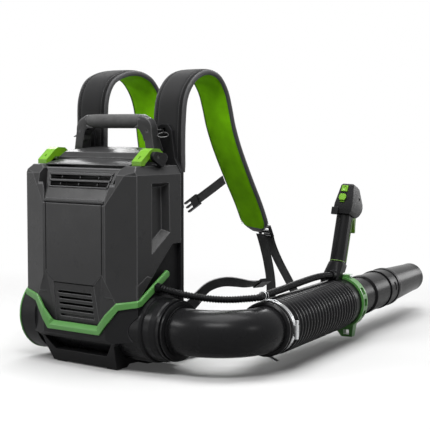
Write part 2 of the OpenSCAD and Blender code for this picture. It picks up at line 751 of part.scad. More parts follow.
module shoulder_strap_right() {
    shoulder_strap(right_line);
}

// Lock frame with two slots, which grips the webbing behind a strap's end
module ladder_lock(p, tilt) {
    translate(p) rotate([tilt, 0, 0]) difference() {
        translate([-17, -2.4, -15]) cube([34, 6, 28]);
        for (z = [-11, 1.5]) translate([-13.4, -4, z]) cube([26.8, 9, 7.5]);
    }
}

module ladder_locks() {
    color(black_col) {
        ladder_lock([110, 371, 240], 28);
        mirror([1, 0, 0]) ladder_lock([110, 309, 238], 8);
    }
}

module webbing(line, head, tail) {
    band_sweep(line, x_dir, x_dir, webbing_w, webbing_t, 0.6, head, tail);
}

module strap_webbing() {
    color(dark_col) {
        webbing(slack_right, [1], [1]);
        webbing(tail_right, [1], [0.7, 1]);
        mirror([1, 0, 0]) {
            webbing(slack_left, [1], [1]);
            webbing(tail_left, [1], [0.7, 1]);
        }
    }
}

module chest_webbing(line) {
    color(black_col) band_sweep(line, [0, 0.1, 1], [0, 0.1, 1], 20, webbing_t, 0.6, [1], [1]);
}

module sternum_strap() {
    chest_webbing(smooth(sternum_line, 2));
    // stub on the left strap's inner face
    color(black_col) band_sweep([[-112, 292.2, 297], [-102, 294.2, 297], [-96, 297, 297], [-91, 299.4, 297]],
        [0, -0.23, 1], [0, -0.23, 1], 20, webbing_t, 0.6, [1], [1]);
}

// Side-release buckle: two springing arms on the right half, a sleeve on the left
module sternum_buckle() {
    color(black_col) {
        translate([-8.8, 291, 307.5]) rotate([0, -32, 0]) difference() {
            translate([-38, -3.5, -12]) cube([38, 7, 24]);
            translate([-44, -5, -8.2]) cube([24, 10, 6.4]);
            translate([-44, -5, 1.8]) cube([24, 10, 6.4]);
        }
        translate([-90, 300, 297]) rotate([13, 0, 10]) difference() {
            translate([0, -5, -13]) cube([24, 10, 26]);
            translate([8, -3.6, -9]) cube([20, 7.2, 18]);
        }
    }
}

module waist_belt() {
    color(dark_col) both_sides()
        band_sweep(belt_line, [0, 0.1, 1], [0.85, -0.17, 0.5], 26, 3, 0.8, [1], [1]);
}

module waist_buckle() {
    color(black_col) both_sides() translate([184.8, 246, 145]) rotate([60, 0, 78.7]) difference() {
        translate([0.3, -3.6, -15]) cube([26, 7.2, 30]);
        translate([8, -2.4, -11]) cube([20, 4.8, 22]);
    }
}

// ---- air path ----------------------------------------------------------------------

// Frame of the hose and wand: origin at the elbow's end, Y along the air flow
module along() {
    translate([end_x, elbow_y, fan_z]) rotate([0, 0, turn]) children();
}

// A profile in radius and length, turned about the wand's axis
module wand_turned() {
    along() rotate([-90, 0, 0]) rotate_extrude() children();
}

module elbow() {
    color(black_col) {
        turned_x() polygon([[elbow_r - 3, 201], [elbow_r, 201], [elbow_r, 206.6], [elbow_r + 3.6, 206.6],
            [elbow_r + 3.6, 209.6], [elbow_r, 209.6], [elbow_r, elbow_x], [elbow_r - 3, elbow_x]]);
        translate([elbow_x, fan_y + elbow_bend, fan_z]) rotate([0, 0, -90])
            rotate_extrude(angle = 90 + turn) translate([elbow_bend, 0]) difference() {
                circle(elbow_r);
                circle(elbow_r - 3);
            }
        wand_turned() polygon([[elbow_r - 3, 0], [elbow_r + 4, 0], [52, 3], [52, 8], [48, 9.5],
            [48, 12], [52.5, 13.5], [52.5, 18], [47.4, 18], [47.4, 46], [elbow_r - 3, 46]]);
    }
}

module air_hose() {
    pitch = (hose_len - 40) / hose_ribs;
    color(black_col) wand_turned() polygon(concat([[47.6, 18.3], [50, 18.3], [50, 38]],
        [for (i = [0 : hose_ribs - 1]) let (y = 40 + pitch * i) each [[50, y], [hose_r, y + 0.3 * pitch],
            [hose_r, y + 0.62 * pitch], [50, y + 0.92 * pitch]]],
        [[50, hose_len + 14], [47.6, hose_len + 14]]));
}

module hose_clamp() {
    color(steel_col) {
        wand_turned() polygon([[50.1, 22], [51.3, 22], [51.3, 34], [50.1, 34]]);
        // free end of the band, which stands off below
        along() translate([-3, 22, -55.2]) rotate([0, 24, 0]) cube([20, 12, 1]);
    }
}

module clamp_screw() {
    color(steel_col) along() translate([51.6, 22, -14]) union() {
        cube([5.5, 12, 22]);
        translate([3.6, 6, -4]) cylinder(r = 3.2, h = 30);
        translate([3.6, 6, 26]) cylinder(r = 4, h = 5, $fn = 6);
    }
}

// Two wire ties that hold the cable on the elbow's collar
module cable_ties() {
    color("#6f7275") along() for (y = [4.4, 14.6]) translate([-6, y, 0]) {
        rotate([-90, 0, 0]) difference() {
            translate([0, -63, 0]) cylinder(r = 9.4, h = 2.4);
            translate([0, -63, -1]) cylinder(r = 8, h = 5);
        }
        translate([-3, 0, 52.4]) cube([6, 2.4, 2.6]);
    }
}

module hose_cuff() {
    color(black_col) wand_turned() polygon([[50.3, hose_len + 4], [cuff_r, hose_len + 4],
        [cuff_r, ring_y + 17], [cuff_r - 2, ring_y + 21], [tube_r + 0.3, ring_y + 21],
        [tube_r + 0.3, hose_len + 18], [50.3, hose_len + 14.4]]);
}

// Open-work clamp ring: two rims joined by bridges, a lug on top and a foot below
module swivel_ring() {
    color(green_col) along() translate([0, ring_y - 13, 0]) difference() {
        union() {
            rotate([-90, 0, 0]) cylinder(r = 57, h = 26);
            // foot that keeps the wand off the floor
            hull() {
                translate([4, 5, 8 - fan_z]) cube([24, 18, 4]);
                translate([-14, 2, -50]) cube([46, 22, 4]);
            }
            // lug beside the handle's foot
            translate([4.6, 3, 46]) cube([17, 20, 15]);
        }
        translate([0, -1, 0]) rotate([-90, 0, 0]) cylinder(r = cuff_r + 0.3, h = 30);
        // windows round the rim
        for (a = [-24 : 26 : 236]) if (abs(a - 72) > 24) rotate([0, -a, 0])
            translate([50, 6, -8]) cube([12, 14, 16]);
        // bolt hole in the lug, hollow in the foot
        translate([-5, 13, 57.4]) rotate([0, 90, 0]) cylinder(r = 2.2, h = 40);
        translate([9, -20, -69]) cube([13, 60, 11]);
    }
}

module wand_tube() {
    color(black_col) {
        wand_turned() polygon([[tube_r - 3, 388], [tube_r, 388], [tube_r, ring_y + 21.4],
            [tube_r - 1.4, ring_y + 23], [tube_r - 1.4, 530], [tube_r + 1, 532], [tube_r + 2.4, 536],
            [tube_r + 2.4, 551], [tube_r + 1, 555], [tube_r + 0.6, 630], [tube_r - 2, 634],
            [tube_r - 2, 704], [tube_r - 5, 704], [tube_r - 5, 636], [tube_r - 3, 616]]);
        // bayonet pins of the nozzle joint
        along() for (a = [-50, 70, 190]) rotate([0, a, 0])
            translate([0, 670, tube_r - 3]) cylinder(r = 2.6, h = 6);
    }
}

module nozzle() {
    color(black_col) difference() {
        wand_turned() polygon([[tube_r - 1.7, 635], [tube_r + 2.6, 635], [tube_r + 3, 637],
            [tube_r + 3, 649], [tube_r + 1.2, 651], [tube_r + 1.2, 688], [tube_r + 3, 690],
            [tube_r + 3, 702], [tube_r + 0.6, 705], [tube_r - 0.8, 720], [mouth_r, mouth_y - 24],
            [mouth_r, mouth_y], [mouth_r - 2.6, mouth_y], [mouth_r - 2.6, mouth_y - 24],
            [tube_r - 3.6, 720], [tube_r - 4.4, 704.4], [tube_r - 1.7, 704.4]]);
        // bayonet slots, long enough for the nozzle's twist
        along() for (a = [-50, 70, 190], b = [0 : 4 : 20]) rotate([0, a + b, 0])
            translate([0, 670, tube_r - 2.6]) cylinder(r = 3.1, h = 12, $fn = 24);
    }
}

// ---- control handle ----------------------------------------------------------------

// Frame of the control handle: Z up the grip, Y towards the nozzle
module handle() {
    along() translate([-8, handle_y, 0]) rotate([-handle_lean, 2.5, 0]) children();
}

// Section of the grip: flat cheeks, rounded front and back
module grip_section(o) {
    intersection() {
        circle(19.5 + o);
        square([29 + 2 * o, 40 + 2 * o], center = true);
    }
}

module handle_foot() {
    color(black_col) difference() {
        union() {
            hull() {
                along() translate([-31, hose_len + 5, 40]) cube([36, 30, 13]);
                handle() translate([0, 0, neck_z - 4]) linear_extrude(4) grip_section(1.5);
            }
            // socket of the cable
            along() translate([-4, hose_len - 7, 64]) rotate([-90, 0, 0]) cylinder(r = 9.6, h = 20);
        }
        along() rotate([-90, 0, 0]) translate([0, 0, hose_len - 10]) cylinder(r = cuff_r + 0.3, h = 100);
        along() translate([-4, hose_len - 8, 64]) rotate([-90, 0, 0]) cylinder(r = 7.3, h = 11);
        // clearance round the clamp ring and its lug
        along() rotate([-90, 0, 0]) translate([0, 0, ring_y - 13.6]) cylinder(r = 57.5, h = 40);
        along() translate([4, ring_y - 14, 40]) cube([34, 40, 25]);
        // two screws, from the left cheek
        along() for (y = [12, 28]) translate([-35, hose_len + y, 46]) rotate([0, 90, 0])
            cylinder(r = 2, h = 8);
    }
}

module grip_body() {
    color(dark_col) handle() difference() {
        translate([0, 0, neck_z + 0.2]) linear_extrude(grip_len - 0.4) grip_section(0);
        // raised ridges on the back: the flats beside them are cut away
        for (x = [-11, 0, 11]) translate([x - 1, -21, neck_z + 12]) cube([2, 2.6, grip_len - 24]);
        // channel of the switch leads
        translate([0, 0, neck_z - 1]) cylinder(r = 6, h = grip_len + 2);
    }
}

// Side view of the head, in Y and Z of the handle
module head_side() {
    polygon([[-24, head_z], [-24, head_z + 10], [-12.6, head_z + 66], [-9, head_z + 70],
        [20, head_z + 70], [27, head_z + 66], [50, head_z + 38], [51, head_z + 30],
        [44, head_z + 18], [26, head_z + 2], [20, head_z]]);
}

// Front view of the head
module head_front() {
    polygon(mirrored([[17, head_z], [20.5, head_z + 8], [20.5, head_z + 22], [14.5, head_z + 66],
        [11.5, head_z + 70]]));
}

// Frame on the head's back face: Z up the face, -Y outwards
module thumb_face() {
    handle() translate([0, -24, head_z + 9]) rotate([-face_tilt, 0, 0]) children();
}

module grip_head() {
    color(dark_col) difference() {
        handle() intersection() {
            side_cut(-30, 30) head_side();
            front_cut(-60, 60) head_front();
        }
        // pockets of the power button and of the speed slider
        thumb_face() translate([-12, -3, 42.1]) cube([15, 9.4, 15]);
        thumb_face() translate([-9.9, -3, 15.6]) cube([10.8, 8, 24]);
        // pocket of the cruise lever, open to the left and the back
        handle() translate([-30, -25, head_z - 1]) cube([22.5, 13.4, 9.5]);
        handle() translate([-12, -18, head_z - 2]) cylinder(r = 2.05, h = 16);
        // bore of the trigger's pin, and the trigger's slot
        handle() translate([-18, 26, head_z + 12]) rotate([0, 90, 0]) cylinder(r = 2.05, h = 36);
        handle() translate([-6.6, 8, head_z - 1]) cube([13.2, 40, 24]);
        // blind hole in the right cheek
        handle() translate([12, 26, head_z + 44]) rotate([0, 90, 0]) cylinder(r = 3.5, h = 20);
    }
}

module trigger() {
    color(lime_col) handle() union() {
        side_cut(-6, 6) polygon([[20, head_z + 17], [30, head_z + 19], [51, head_z + 13],
            [56, head_z + 5], [60, head_z - 13], [64, head_z - 23], [59, head_z - 26],
            [50, head_z - 13], [43, head_z - 1], [32, head_z + 5], [20, head_z + 8]]);
        translate([-16, 26, head_z + 12]) rotate([0, 90, 0]) cylinder(r = 2, h = 32);
    }
}

module power_button() {
    color(lime_col) thumb_face() translate([-11.6, -2.2, 42.5]) difference() {
        cube([14.2, 6, 14.2]);
        // dished face
        translate([7.1, -8.6, 7.1]) sphere(10);
    }
}

module speed_slider() {
    color(lime_col) thumb_face() translate([-4.5, 0, 2.6]) union() {
        translate([-5, -0.4, 15]) cube([10, 5, 14]);
        translate([0, -0.3, 26]) rotate([90, 0, 0]) linear_extrude(4.2)
            polygon([[-8, -3], [-5, -8], [5, -8], [8, -3], [8, 3], [5, 7], [-5, 7], [-8, 3]]);
    }
}

module cruise_lever() {
    color(black_col) handle() union() {
        translate([-12, -18, head_z + 0.4]) cylinder(r = 4.4, h = 7);
        translate([-16, -28, head_z + 0.4]) cube([8, 10, 7]);
        // thumb paddle
        translate([-21, -33.4, head_z - 4.5]) cube([14, 6, 16]);
        translate([-12, -18, head_z - 0.6]) cylinder(r = 2, h = 14);
    }
}

// ---- cable -------------------------------------------------------------------------

// A point of the wand's frame, in the blower's own frame
function from_along(p) = [end_x + p[0] * cos(turn) - p[1] * sin(turn),
    elbow_y + p[0] * sin(turn) + p[1] * cos(turn), fan_z + p[2]];

module cable_gland() {
    color(black_col) translate([half_w, gland_y, gland_z]) rotate([0, 90, 0]) difference() {
        union() {
            translate([0, 0, -8.6]) cylinder(r = 8.4, h = 13);
            translate([0, 0, 4]) cylinder(r = 10, h = 4.5, $fn = 6);
            translate([0, 0, 8.5]) cylinder(r1 = 9.2, r2 = 8.2, h = 7);
        }
        translate([0, 0, 3]) cylinder(r = 7.4, h = 20);
    }
}

module conduit_lower() {
    color(black_col) tube_sweep(lower_route, cable_r, 10);
}

module conduit_upper() {
    color(black_col) along() tube_sweep(upper_route, cable_r, 10);
}

housing_shell();
front_panel();
louvre_panel();
trim_band();
base_housing();
rubber_feet();
fan_duct();
intake_ring();
intake_grille();
impeller();
fan_shaft();
shaft_bearings();
motor();
stator_vanes();
controller();
battery_left();
battery_right();
battery_dock();
battery_lid();
lid_grille();
lid_hinge_pins();
latch_left();
latch_right();
latch_catches();
backplate();
carry_handle();
handle_grip();
frame_screws();
harness_rings();
back_pad();
shoulder_strap_left();
shoulder_strap_right();
ladder_locks();
strap_webbing();
sternum_strap();
sternum_buckle();
waist_belt();
waist_buckle();
elbow();
hose_clamp();
clamp_screw();
air_hose();
cable_ties();
hose_cuff();
swivel_ring();
wand_tube();
nozzle();
handle_foot();
grip_body();
grip_head();
trigger();
power_button();
speed_slider();
cruise_lever();
cable_gland();
conduit_lower();
conduit_upper();
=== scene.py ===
import math

import bmesh
import bpy
import numpy as np
from bpy.props import FloatProperty, FloatVectorProperty, IntProperty
from mathutils import Matrix, Vector


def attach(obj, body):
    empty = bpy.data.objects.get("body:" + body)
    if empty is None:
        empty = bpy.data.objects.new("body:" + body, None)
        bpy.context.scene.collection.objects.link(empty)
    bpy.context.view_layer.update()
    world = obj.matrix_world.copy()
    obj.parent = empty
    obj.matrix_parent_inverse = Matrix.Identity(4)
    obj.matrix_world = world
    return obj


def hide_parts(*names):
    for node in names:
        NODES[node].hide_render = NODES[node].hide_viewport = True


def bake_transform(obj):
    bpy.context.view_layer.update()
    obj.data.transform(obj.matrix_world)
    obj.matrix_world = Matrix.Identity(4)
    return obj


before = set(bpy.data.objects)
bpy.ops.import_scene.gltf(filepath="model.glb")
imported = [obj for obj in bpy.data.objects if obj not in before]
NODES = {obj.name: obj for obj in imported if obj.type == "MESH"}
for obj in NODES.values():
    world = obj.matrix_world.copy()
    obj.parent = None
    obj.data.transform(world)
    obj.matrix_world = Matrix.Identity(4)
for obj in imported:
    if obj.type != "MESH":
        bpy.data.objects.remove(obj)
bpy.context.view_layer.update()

bl_info = {
    "name": "Backpack Leaf Blower",
    "version": (1, 0, 0),
    "blender": (4, 5, 0),
    "location": "3D View > Sidebar > Leaf Blower",
    "description": "Dresses the rigid frame of a battery backpack leaf blower",
    "category": "Object",
}

MM = 0.001
HALF_TURN, FULL_TURN = math.pi, 2 * math.pi

# Places that several pieces share, in metres
HOSE_START = Vector((0.31349, 0.10124, 0.082))
HOSE_TURN = math.radians(13.5)
HOSE_LENGTH = 0.366
HOSE_BEND = (0.040, 0.350)
HANDLE_FOOT = (-0.008, 0.379, 0)
BACK_FACE = 0.060

# Frame nodes with modelled rounds, and each round's width as a multiple of the moulded edge
ROUNDS = {"carry_handle": 2.2, "handle_grip": 1.6, "swivel_ring": 1.2, "handle_foot": 2.2,
          "grip_body": 1.5, "grip_head": 2.0, "trigger": 1.4, "cruise_lever": 0.8}
CREASE, ROUNDED_CREASE = math.radians(14), math.radians(33)


# ---- lines and frames ----


def wand_frame():
    """Frame of the hose and wand: Y along the air flow, Z up."""
    return Matrix.Translation(HOSE_START) @ Matrix.Rotation(HOSE_TURN, 4, "Z")


def handle_frame():
    """Frame of the control handle: Z up the grip, Y towards the nozzle."""
    lean = (Matrix.Rotation(math.radians(2.5), 4, "Y")
            @ Matrix.Rotation(math.radians(-17), 4, "X"))
    return wand_frame() @ Matrix.Translation(HANDLE_FOOT) @ lean


def smooth_line(points, steps=8):
    """A smooth line through the given points, with the same bend as the frame's own."""
    p = [Vector(q) for q in points]
    out = []
    for i in range(len(p) - 1):
        a, b, c, d = p[max(i - 1, 0)], p[i], p[i + 1], p[min(i + 2, len(p) - 1)]
        for k in range(steps):
            t = k / steps
            out.append(0.5 * (2 * b + (c - a) * t + (2 * a - 5 * b + 4 * c - d) * t * t
                              + (3 * b - a - 3 * c + d) * t * t * t))
    out.append(p[-1])
    return out


def line_length(line):
    return sum((b - a).length for a, b in zip(line, line[1:]))


def evenly(line, count):
    """The same line with count + 1 points at even distances."""
    reach = [0.0]
    for a, b in zip(line, line[1:]):
        reach.append(reach[-1] + (b - a).length)
    marks = np.linspace(0, reach[-1], count + 1)
    axes = [np.interp(marks, reach, [q[k] for q in line]) for k in range(3)]
    return [Vector(q) for q in zip(*axes)]


def headings(line):
    last = len(line) - 1
    return [(line[min(i + 1, last)] - line[max(i - 1, 0)]).normalized()
            for i in range(last + 1)]


def carried(line):
    """Each point of a line with a side and an up direction, carried along without twist."""
    ways = headings(line)
    side = ways[0].orthogonal().normalized()
    for p, d in zip(line, ways):
        side = (side - side.dot(d) * d).normalized()
        yield p, side, d.cross(side)


def band_frames(line, across_start, across_end):
    """Each point of a line with its heading, its width direction and its normal."""
    last = len(line) - 1
    out = []
    for i, (p, d) in enumerate(zip(line, headings(line))):
        g = Vector(across_start).lerp(Vector(across_end), i / last)
        s = (g - g.dot(d) * d).normalized()
        out.append((p, d, s, d.cross(s)))
    return out


def twist(line, radius, pitch, phase=0.0):
    """A line wound round another one, with ten points to each turn."""
    length = line_length(line)
    path = evenly(line, max(int(length / pitch * 10), 4))
    out = []
    for i, (p, side, up) in enumerate(carried(path)):
        a = phase + FULL_TURN * (length * i / (len(path) - 1)) / pitch
        out.append(p + radius * (math.cos(a) * side + math.sin(a) * up))
    return out


def in_mm(*points):
    return [Vector(p) * MM for p in points]


def flipped(line):
    """The line on the other side of the middle plane."""
    return [Vector((-p[0], p[1], p[2])) for p in line]


def turns(count):
    """Even steps round a circle, as angles."""
    return [FULL_TURN * k / count for k in range(count)]


def ring(centre, radius, side, up, count):
    """Points round a circle, in the plane of side and up."""
    return [centre + radius * (math.cos(a) * side + math.sin(a) * up) for a in turns(count)]


# ---- meshes ----


class Loft:
    """The points and faces of one piece, mostly from stacks of rings of equal size."""

    def __init__(self, verts=(), faces=()):
        self.verts, self.faces = list(verts), list(faces)

    def stack(self, rings, loop=False):
        """Joins rings by faces, and closes both ends or leads back to the first ring."""
        base, n, m = len(self.verts), len(rings[0]), len(rings)
        for points in rings:
            self.verts += points
        for i in range(m if loop else m - 1):
            a, b = base + i * n, base + (i + 1) % m * n
            for j in range(n):
                k = (j + 1) % n
                self.faces.append((a + j, a + k, b + k, b + j))
        if not loop:
            self.faces.append(tuple(range(base + n - 1, base - 1, -1)))
            self.faces.append(tuple(range(base + (m - 1) * n, base + m * n)))
        return self

    def piece(self, name, *surfaces, which=None, flat=False, lay=None, outwards=True):
        """The mesh object. which is each face's finish, lay each point's place on the cloth."""
        mesh = bpy.data.meshes.new(name)
        mesh.from_pydata([tuple(v) for v in self.verts], [], self.faces)
        for surface in surfaces:
            mesh.materials.append(finish(surface))
        if which is not None:
            mesh.polygons.foreach_set("material_index", np.array(which, np.int32))
        mesh.polygons.foreach_set("use_smooth", np.full(len(mesh.polygons), not flat))
        if lay is not None:
            layer = mesh.attributes.new("lay", "FLOAT_VECTOR", "POINT")
            layer.data.foreach_set("vector", np.array(lay, np.float32).ravel())
        mesh.update()
        piece = bpy.data.objects.new(name, mesh)
        bpy.context.scene.collection.objects.link(piece)
        if outwards:
            bm = bmesh.new()
            bm.from_mesh(mesh)
            bmesh.ops.recalc_face_normals(bm, faces=bm.faces)
            bm.to_mesh(mesh)
            bm.free()
        return piece


def fitted(piece, body, node=None):
    """Hands a piece to its body and the frame node it stands for."""
    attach(piece, body)
    if node:
        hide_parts(node)
    return piece


def creased(piece):
    """Shades a piece smooth, and leaves its sharper edges crisp."""
    piece.modifiers.new("Creases", "NODES").node_group = crease_group()
    return piece


def crease_group():
    """A node group that leaves edges sharp above the crease angle and smooth below it."""
    name = "Crease by angle"
    if name in bpy.data.node_groups:
        return bpy.data.node_groups[name]
    group = bpy.data.node_groups.new(name, "GeometryNodeTree")
    for way in ("INPUT", "OUTPUT"):
        group.interface.new_socket("Geometry", in_out=way, socket_type="NodeSocketGeometry")
    add = Tree(group).add
    plain = add("GeometryNodeRemoveAttribute",
                {"Geometry": add("NodeGroupInput"), "Name": "custom_normal"})
    smooth = add("GeometryNodeSetShadeSmooth", {"Geometry": plain})
    gentle = add("FunctionNodeCompare",
                 {"A": add("GeometryNodeInputMeshEdgeAngle"), "B": CREASE},
                 data_type="FLOAT", operation="LESS_THAN")
    crisp = add("GeometryNodeSetShadeSmooth", {"Geometry": smooth, "Shade Smooth": gentle},
                domain="EDGE")
    add("NodeGroupOutput", {0: crisp})
    return group


def rounded_edges(piece, width, angle, **settings):
    """Bevels the edges of a piece that turn by more than an angle, width in millimetres."""
    bevel = piece.modifiers.new("Rounded edges", "BEVEL")
    bevel.width, bevel.segments = width * MM, 3
    bevel.limit_method, bevel.angle_limit = "ANGLE", angle
    for key, value in settings.items():
        setattr(bevel, key, value)


def dress(surfaces):
    """Gives frame nodes their finishes. surfaces has the names of the nodes by finish."""
    edge = bpy.context.scene.blower_sizes.edge
    for surface, names in surfaces.items():
        for name in names.split():
            node = NODES[name]
            node.data.materials.clear()
            node.data.materials.append(finish(surface))
            if "custom_normal" in node.data.attributes:
                node.data.attributes.remove(node.data.attributes["custom_normal"])
            if name in ROUNDS:
                node.modifiers.new("Merge", "WELD").merge_threshold = 2e-6
                plane = node.modifiers.new("Flat faces", "DECIMATE")
                plane.decimate_type, plane.angle_limit = "DISSOLVE", math.radians(0.6)
                rounded_edges(node, ROUNDS[name] * edge, ROUNDED_CREASE,
                              miter_outer="MITER_ARC")
            creased(node)


def rods(name, lines, radius, surface, sides=8):
    """Round rods along the given lines, as one piece."""
    loft = Loft()
    for line in lines:
        loft.stack([ring(p, radius, side, up, sides) for p, side, up in carried(line)])
    return loft.piece(name, surface)


# Rings of a screw head from its seat inwards: radius and height as shares of the head's
# own, and whether the ring is six-sided
SCREW_HEAD = ((1.0, 0.0, False), (1.0, 0.5, False), (0.93, 0.8, False), (0.75, 0.97, False),
              (0.52, 1.0, True), (0.48, 0.94, True), (0.46, 0.25, True))


def screw_heads(name, seats, radius, height, surface, body, node=None):
    """Domed screw heads with a six-sided socket. A seat is a centre and an axis."""
    loft, sixth = Loft(), FULL_TURN / 6
    for centre, axis in seats:
        d = Vector(axis).normalized()
        side = d.orthogonal().normalized()
        up = d.cross(side)
        rings = []
        for share, lift, six in SCREW_HEAD:
            rings.append([])
            for a in turns(24):
                flat = math.cos(sixth / 2) / math.cos(a % sixth - sixth / 2) if six else 1
                out = math.cos(a) * side + math.sin(a) * up
                rings[-1].append(Vector(centre) + d * (height * lift)
                                 + radius * share * flat * out)
        loft.stack(rings)
    fitted(creased(loft.piece(name, surface)), body, node)


# ---- finishes ----


class Tree:
    """A node tree, with a short way to add nodes and to feed their inputs."""

    def __init__(self, tree):
        self.tree = tree

    def feed(self, node, inputs):
        """Feeds inputs by name or number, each from another node's output or a value."""
        for key, value in inputs.items():
            if isinstance(value, bpy.types.NodeSocket):
                self.tree.links.new(value, node.inputs[key])
            elif value is not None:
                node.inputs[key].default_value = value

    def add(self, kind, inputs=None, output=0, **settings):
        """A new node with the given settings and inputs. Returns one of its outputs."""
        node = self.tree.nodes.new(kind)
        for key, value in settings.items():
            setattr(node, key, value)
        self.feed(node, inputs or {})
        return node.outputs[output] if node.outputs else node


# Short names for the shader's inputs
LEVELS = {"shine": "Specular IOR Level", "coat": "Coat Weight", "haze": "Coat Roughness",
          "fuzz": "Sheen Weight", "nap": "Sheen Roughness", "metal": "Metallic"}


def lighter(colour, factor):
    return tuple(min(c * factor, 1) for c in colour)


# Lean of the rounded normal, as a cosine, at which an edge has the full painted highlight or
# none at all
FULL_HIGHLIGHT, FLAT = 0.955, 0.998


class Finish(Tree):
    """One material, with the nodes that give it grain, colour variation and sheen."""

    def __init__(self, name, colour, roughness, **levels):
        material = bpy.data.materials.new(name)
        material.use_nodes = True
        material.diffuse_color = (*colour, 1)
        super().__init__(material.node_tree)
        self.shader = self.tree.nodes["Principled BSDF"]
        self.feed(self.shader, {"Base Color": (*colour, 1), "Roughness": roughness})
        self.feed(self.shader, {LEVELS[key]: level for key, level in levels.items()})
        self.colour = colour
        self.place = self.add("ShaderNodeTexCoord", output="Object")

    def lay(self):
        """Each point's place on the flat cloth."""
        return self.add("ShaderNodeAttribute", output="Vector", attribute_name="lay")

    def noise(self, scale, detail, place=None):
        return self.add("ShaderNodeTexNoise",
                        {"Scale": scale, "Detail": detail, "Vector": place or self.place})

    def cells(self, scale, place=None, randomness=1.0):
        return self.add("ShaderNodeTexVoronoi", {"Scale": scale, "Randomness": randomness,
                                                 "Vector": place or self.place})

    def ribs(self, period, direction, place=None, distortion=0.0):
        return self.add("ShaderNodeTexWave",
                        {"Scale": FULL_TURN / (20 * period), "Distortion": distortion,
                         "Vector": place or self.place}, "Fac", bands_direction=direction)

    def spread(self, value, low, high, start=0.3, end=0.7):
        """Stretches what lies from start to end over low to high."""
        return self.add("ShaderNodeMapRange", {"Value": value, "From Min": start,
                                               "From Max": end, "To Min": low, "To Max": high})

    def vary(self, scale, detail, low, high):
        return self.spread(self.noise(scale, detail), low, high)

    def combine(self, a, b, operation="MULTIPLY"):
        return self.add("ShaderNodeMath", {0: a, 1: b}, operation=operation)

    def tint(self, mask, factor, base=None):
        """Lays a lighter or darker shade of the colour over the base where mask is 1."""
        return self.add("ShaderNodeMix", {"A": base or (*self.colour, 1), "Factor": mask,
                                          "B": (*lighter(self.colour, factor), 1)},
                        "Result", data_type="RGBA")

    def mottle(self, factor, strength, scale, detail, base=None, place=None,
               start=0.3, end=0.7):
        """Clouds of another shade of the colour."""
        clouds = self.noise(scale, detail, place)
        return self.tint(self.spread(clouds, 0, strength, start, end), factor, base)

    def paint(self, value):
        self.feed(self.shader, {"Base Color": value})

    def gloss(self, value):
        self.feed(self.shader, {"Roughness": value})

    def rounding(self, radius):
        """Softly rounded edges, of the given radius in millimetres."""
        return self.add("ShaderNodeBevel", {"Radius": radius * MM}, samples=6)

    def edges(self, rounded, strength):
        """How far the rounded normal leans from the plain one, as the mask of a painted edge
        highlight: 0 where a surface is flat.
        """
        plain = self.add("ShaderNodeNewGeometry", output="Normal")
        lean = self.add("ShaderNodeVectorMath", {0: rounded, 1: plain}, "Value",
                        operation="DOT_PRODUCT")
        return self.spread(lean, strength, 0, FULL_HIGHLIGHT, FLAT)

    def bump(self, value, depth, strength, over=None):
        """Relief of the given depth in millimetres. over is a relief that it lies on."""
        normal = self.add("ShaderNodeBump", {"Height": value, "Distance": depth * MM,
                                             "Strength": strength, "Normal": over})
        self.feed(self.shader, {"Normal": normal})
        return normal


def moulded_plastic(name, colour, roughness, grain=0.7, relief=0.05, scuff=0.5, shine=0.25,
                    edge=1.6, edge_highlight=0.0):
    """Moulded plastic: fine leathery grain, flow marks, dull scuffs and a painted highlight on
    its edges.
    """
    f = Finish(name, colour, roughness, shine=shine)
    rounded, pores = f.rounding(edge), f.cells(1 / (grain * MM))
    look = f.mottle(2.1, 0.35 * scuff, 38, 6, f.mottle(1.22, 0.5, 7, 3), start=0.56, end=0.78)
    # where the rounded normal leans at an edge the colour is painted lighter: a painted
    # highlight on the edges
    f.paint(f.tint(f.edges(rounded, edge_highlight), 4.5, look) if edge_highlight else look)
    f.gloss(f.combine(f.vary(24, 4, roughness - 0.05, roughness + 0.08),
                      f.spread(pores, -0.03, 0.03, 0, 0.9), "ADD"))
    f.bump(pores, relief, 0.9, f.bump(f.noise(30, 2), 0.10, 0.5, rounded))


def polished_plastic(name, colour, roughness, coat=0.25, shine=0.3, edge=0.8):
    """Smooth moulded plastic with a soft sheen."""
    f = Finish(name, colour, roughness, shine=shine, coat=coat, haze=0.3)
    f.paint(f.mottle(1.18, 0.6, 11, 3))
    f.gloss(f.vary(18, 3, roughness - 0.012, roughness + 0.02))
    f.bump(f.noise(420, 3), 0.008, 0.6, f.bump(f.noise(16, 2), 0.10, 0.4, f.rounding(edge)))


def soft_rubber(name, colour):
    """Matt rubber with a fine grain."""
    f = Finish(name, colour, 0.72)
    f.paint(f.mottle(1.7, 0.7, 26, 4))
    f.gloss(f.vary(90, 4, 0.62, 0.82))
    f.bump(f.cells(900), 0.07, 0.8, f.bump(f.noise(40, 2), 0.15, 0.4))


def bare_metal(name, colour, roughness, brushed=True):
    """Plain metal with fine brush marks, or ground smooth."""
    f = Finish(name, colour, roughness, metal=1.0)
    f.paint(f.mottle(0.72, 0.5, 30, 4))
    f.gloss(f.vary(120, 5, roughness - 0.06, roughness + 0.12))
    if brushed:
        f.bump(f.ribs(0.00025, "Y", distortion=2.5), 0.012, 0.5)
    else:
        f.bump(f.noise(900, 3), 0.015, 0.5)


def painted_metal(name, colour, roughness):
    """Metal under a coat of slightly uneven paint."""
    f = Finish(name, colour, roughness, coat=0.4)
    f.paint(f.mottle(1.2, 0.5, 20, 3))
    f.gloss(f.vary(80, 4, roughness - 0.05, roughness + 0.1))
    f.bump(f.noise(600, 3), 0.04, 0.6)


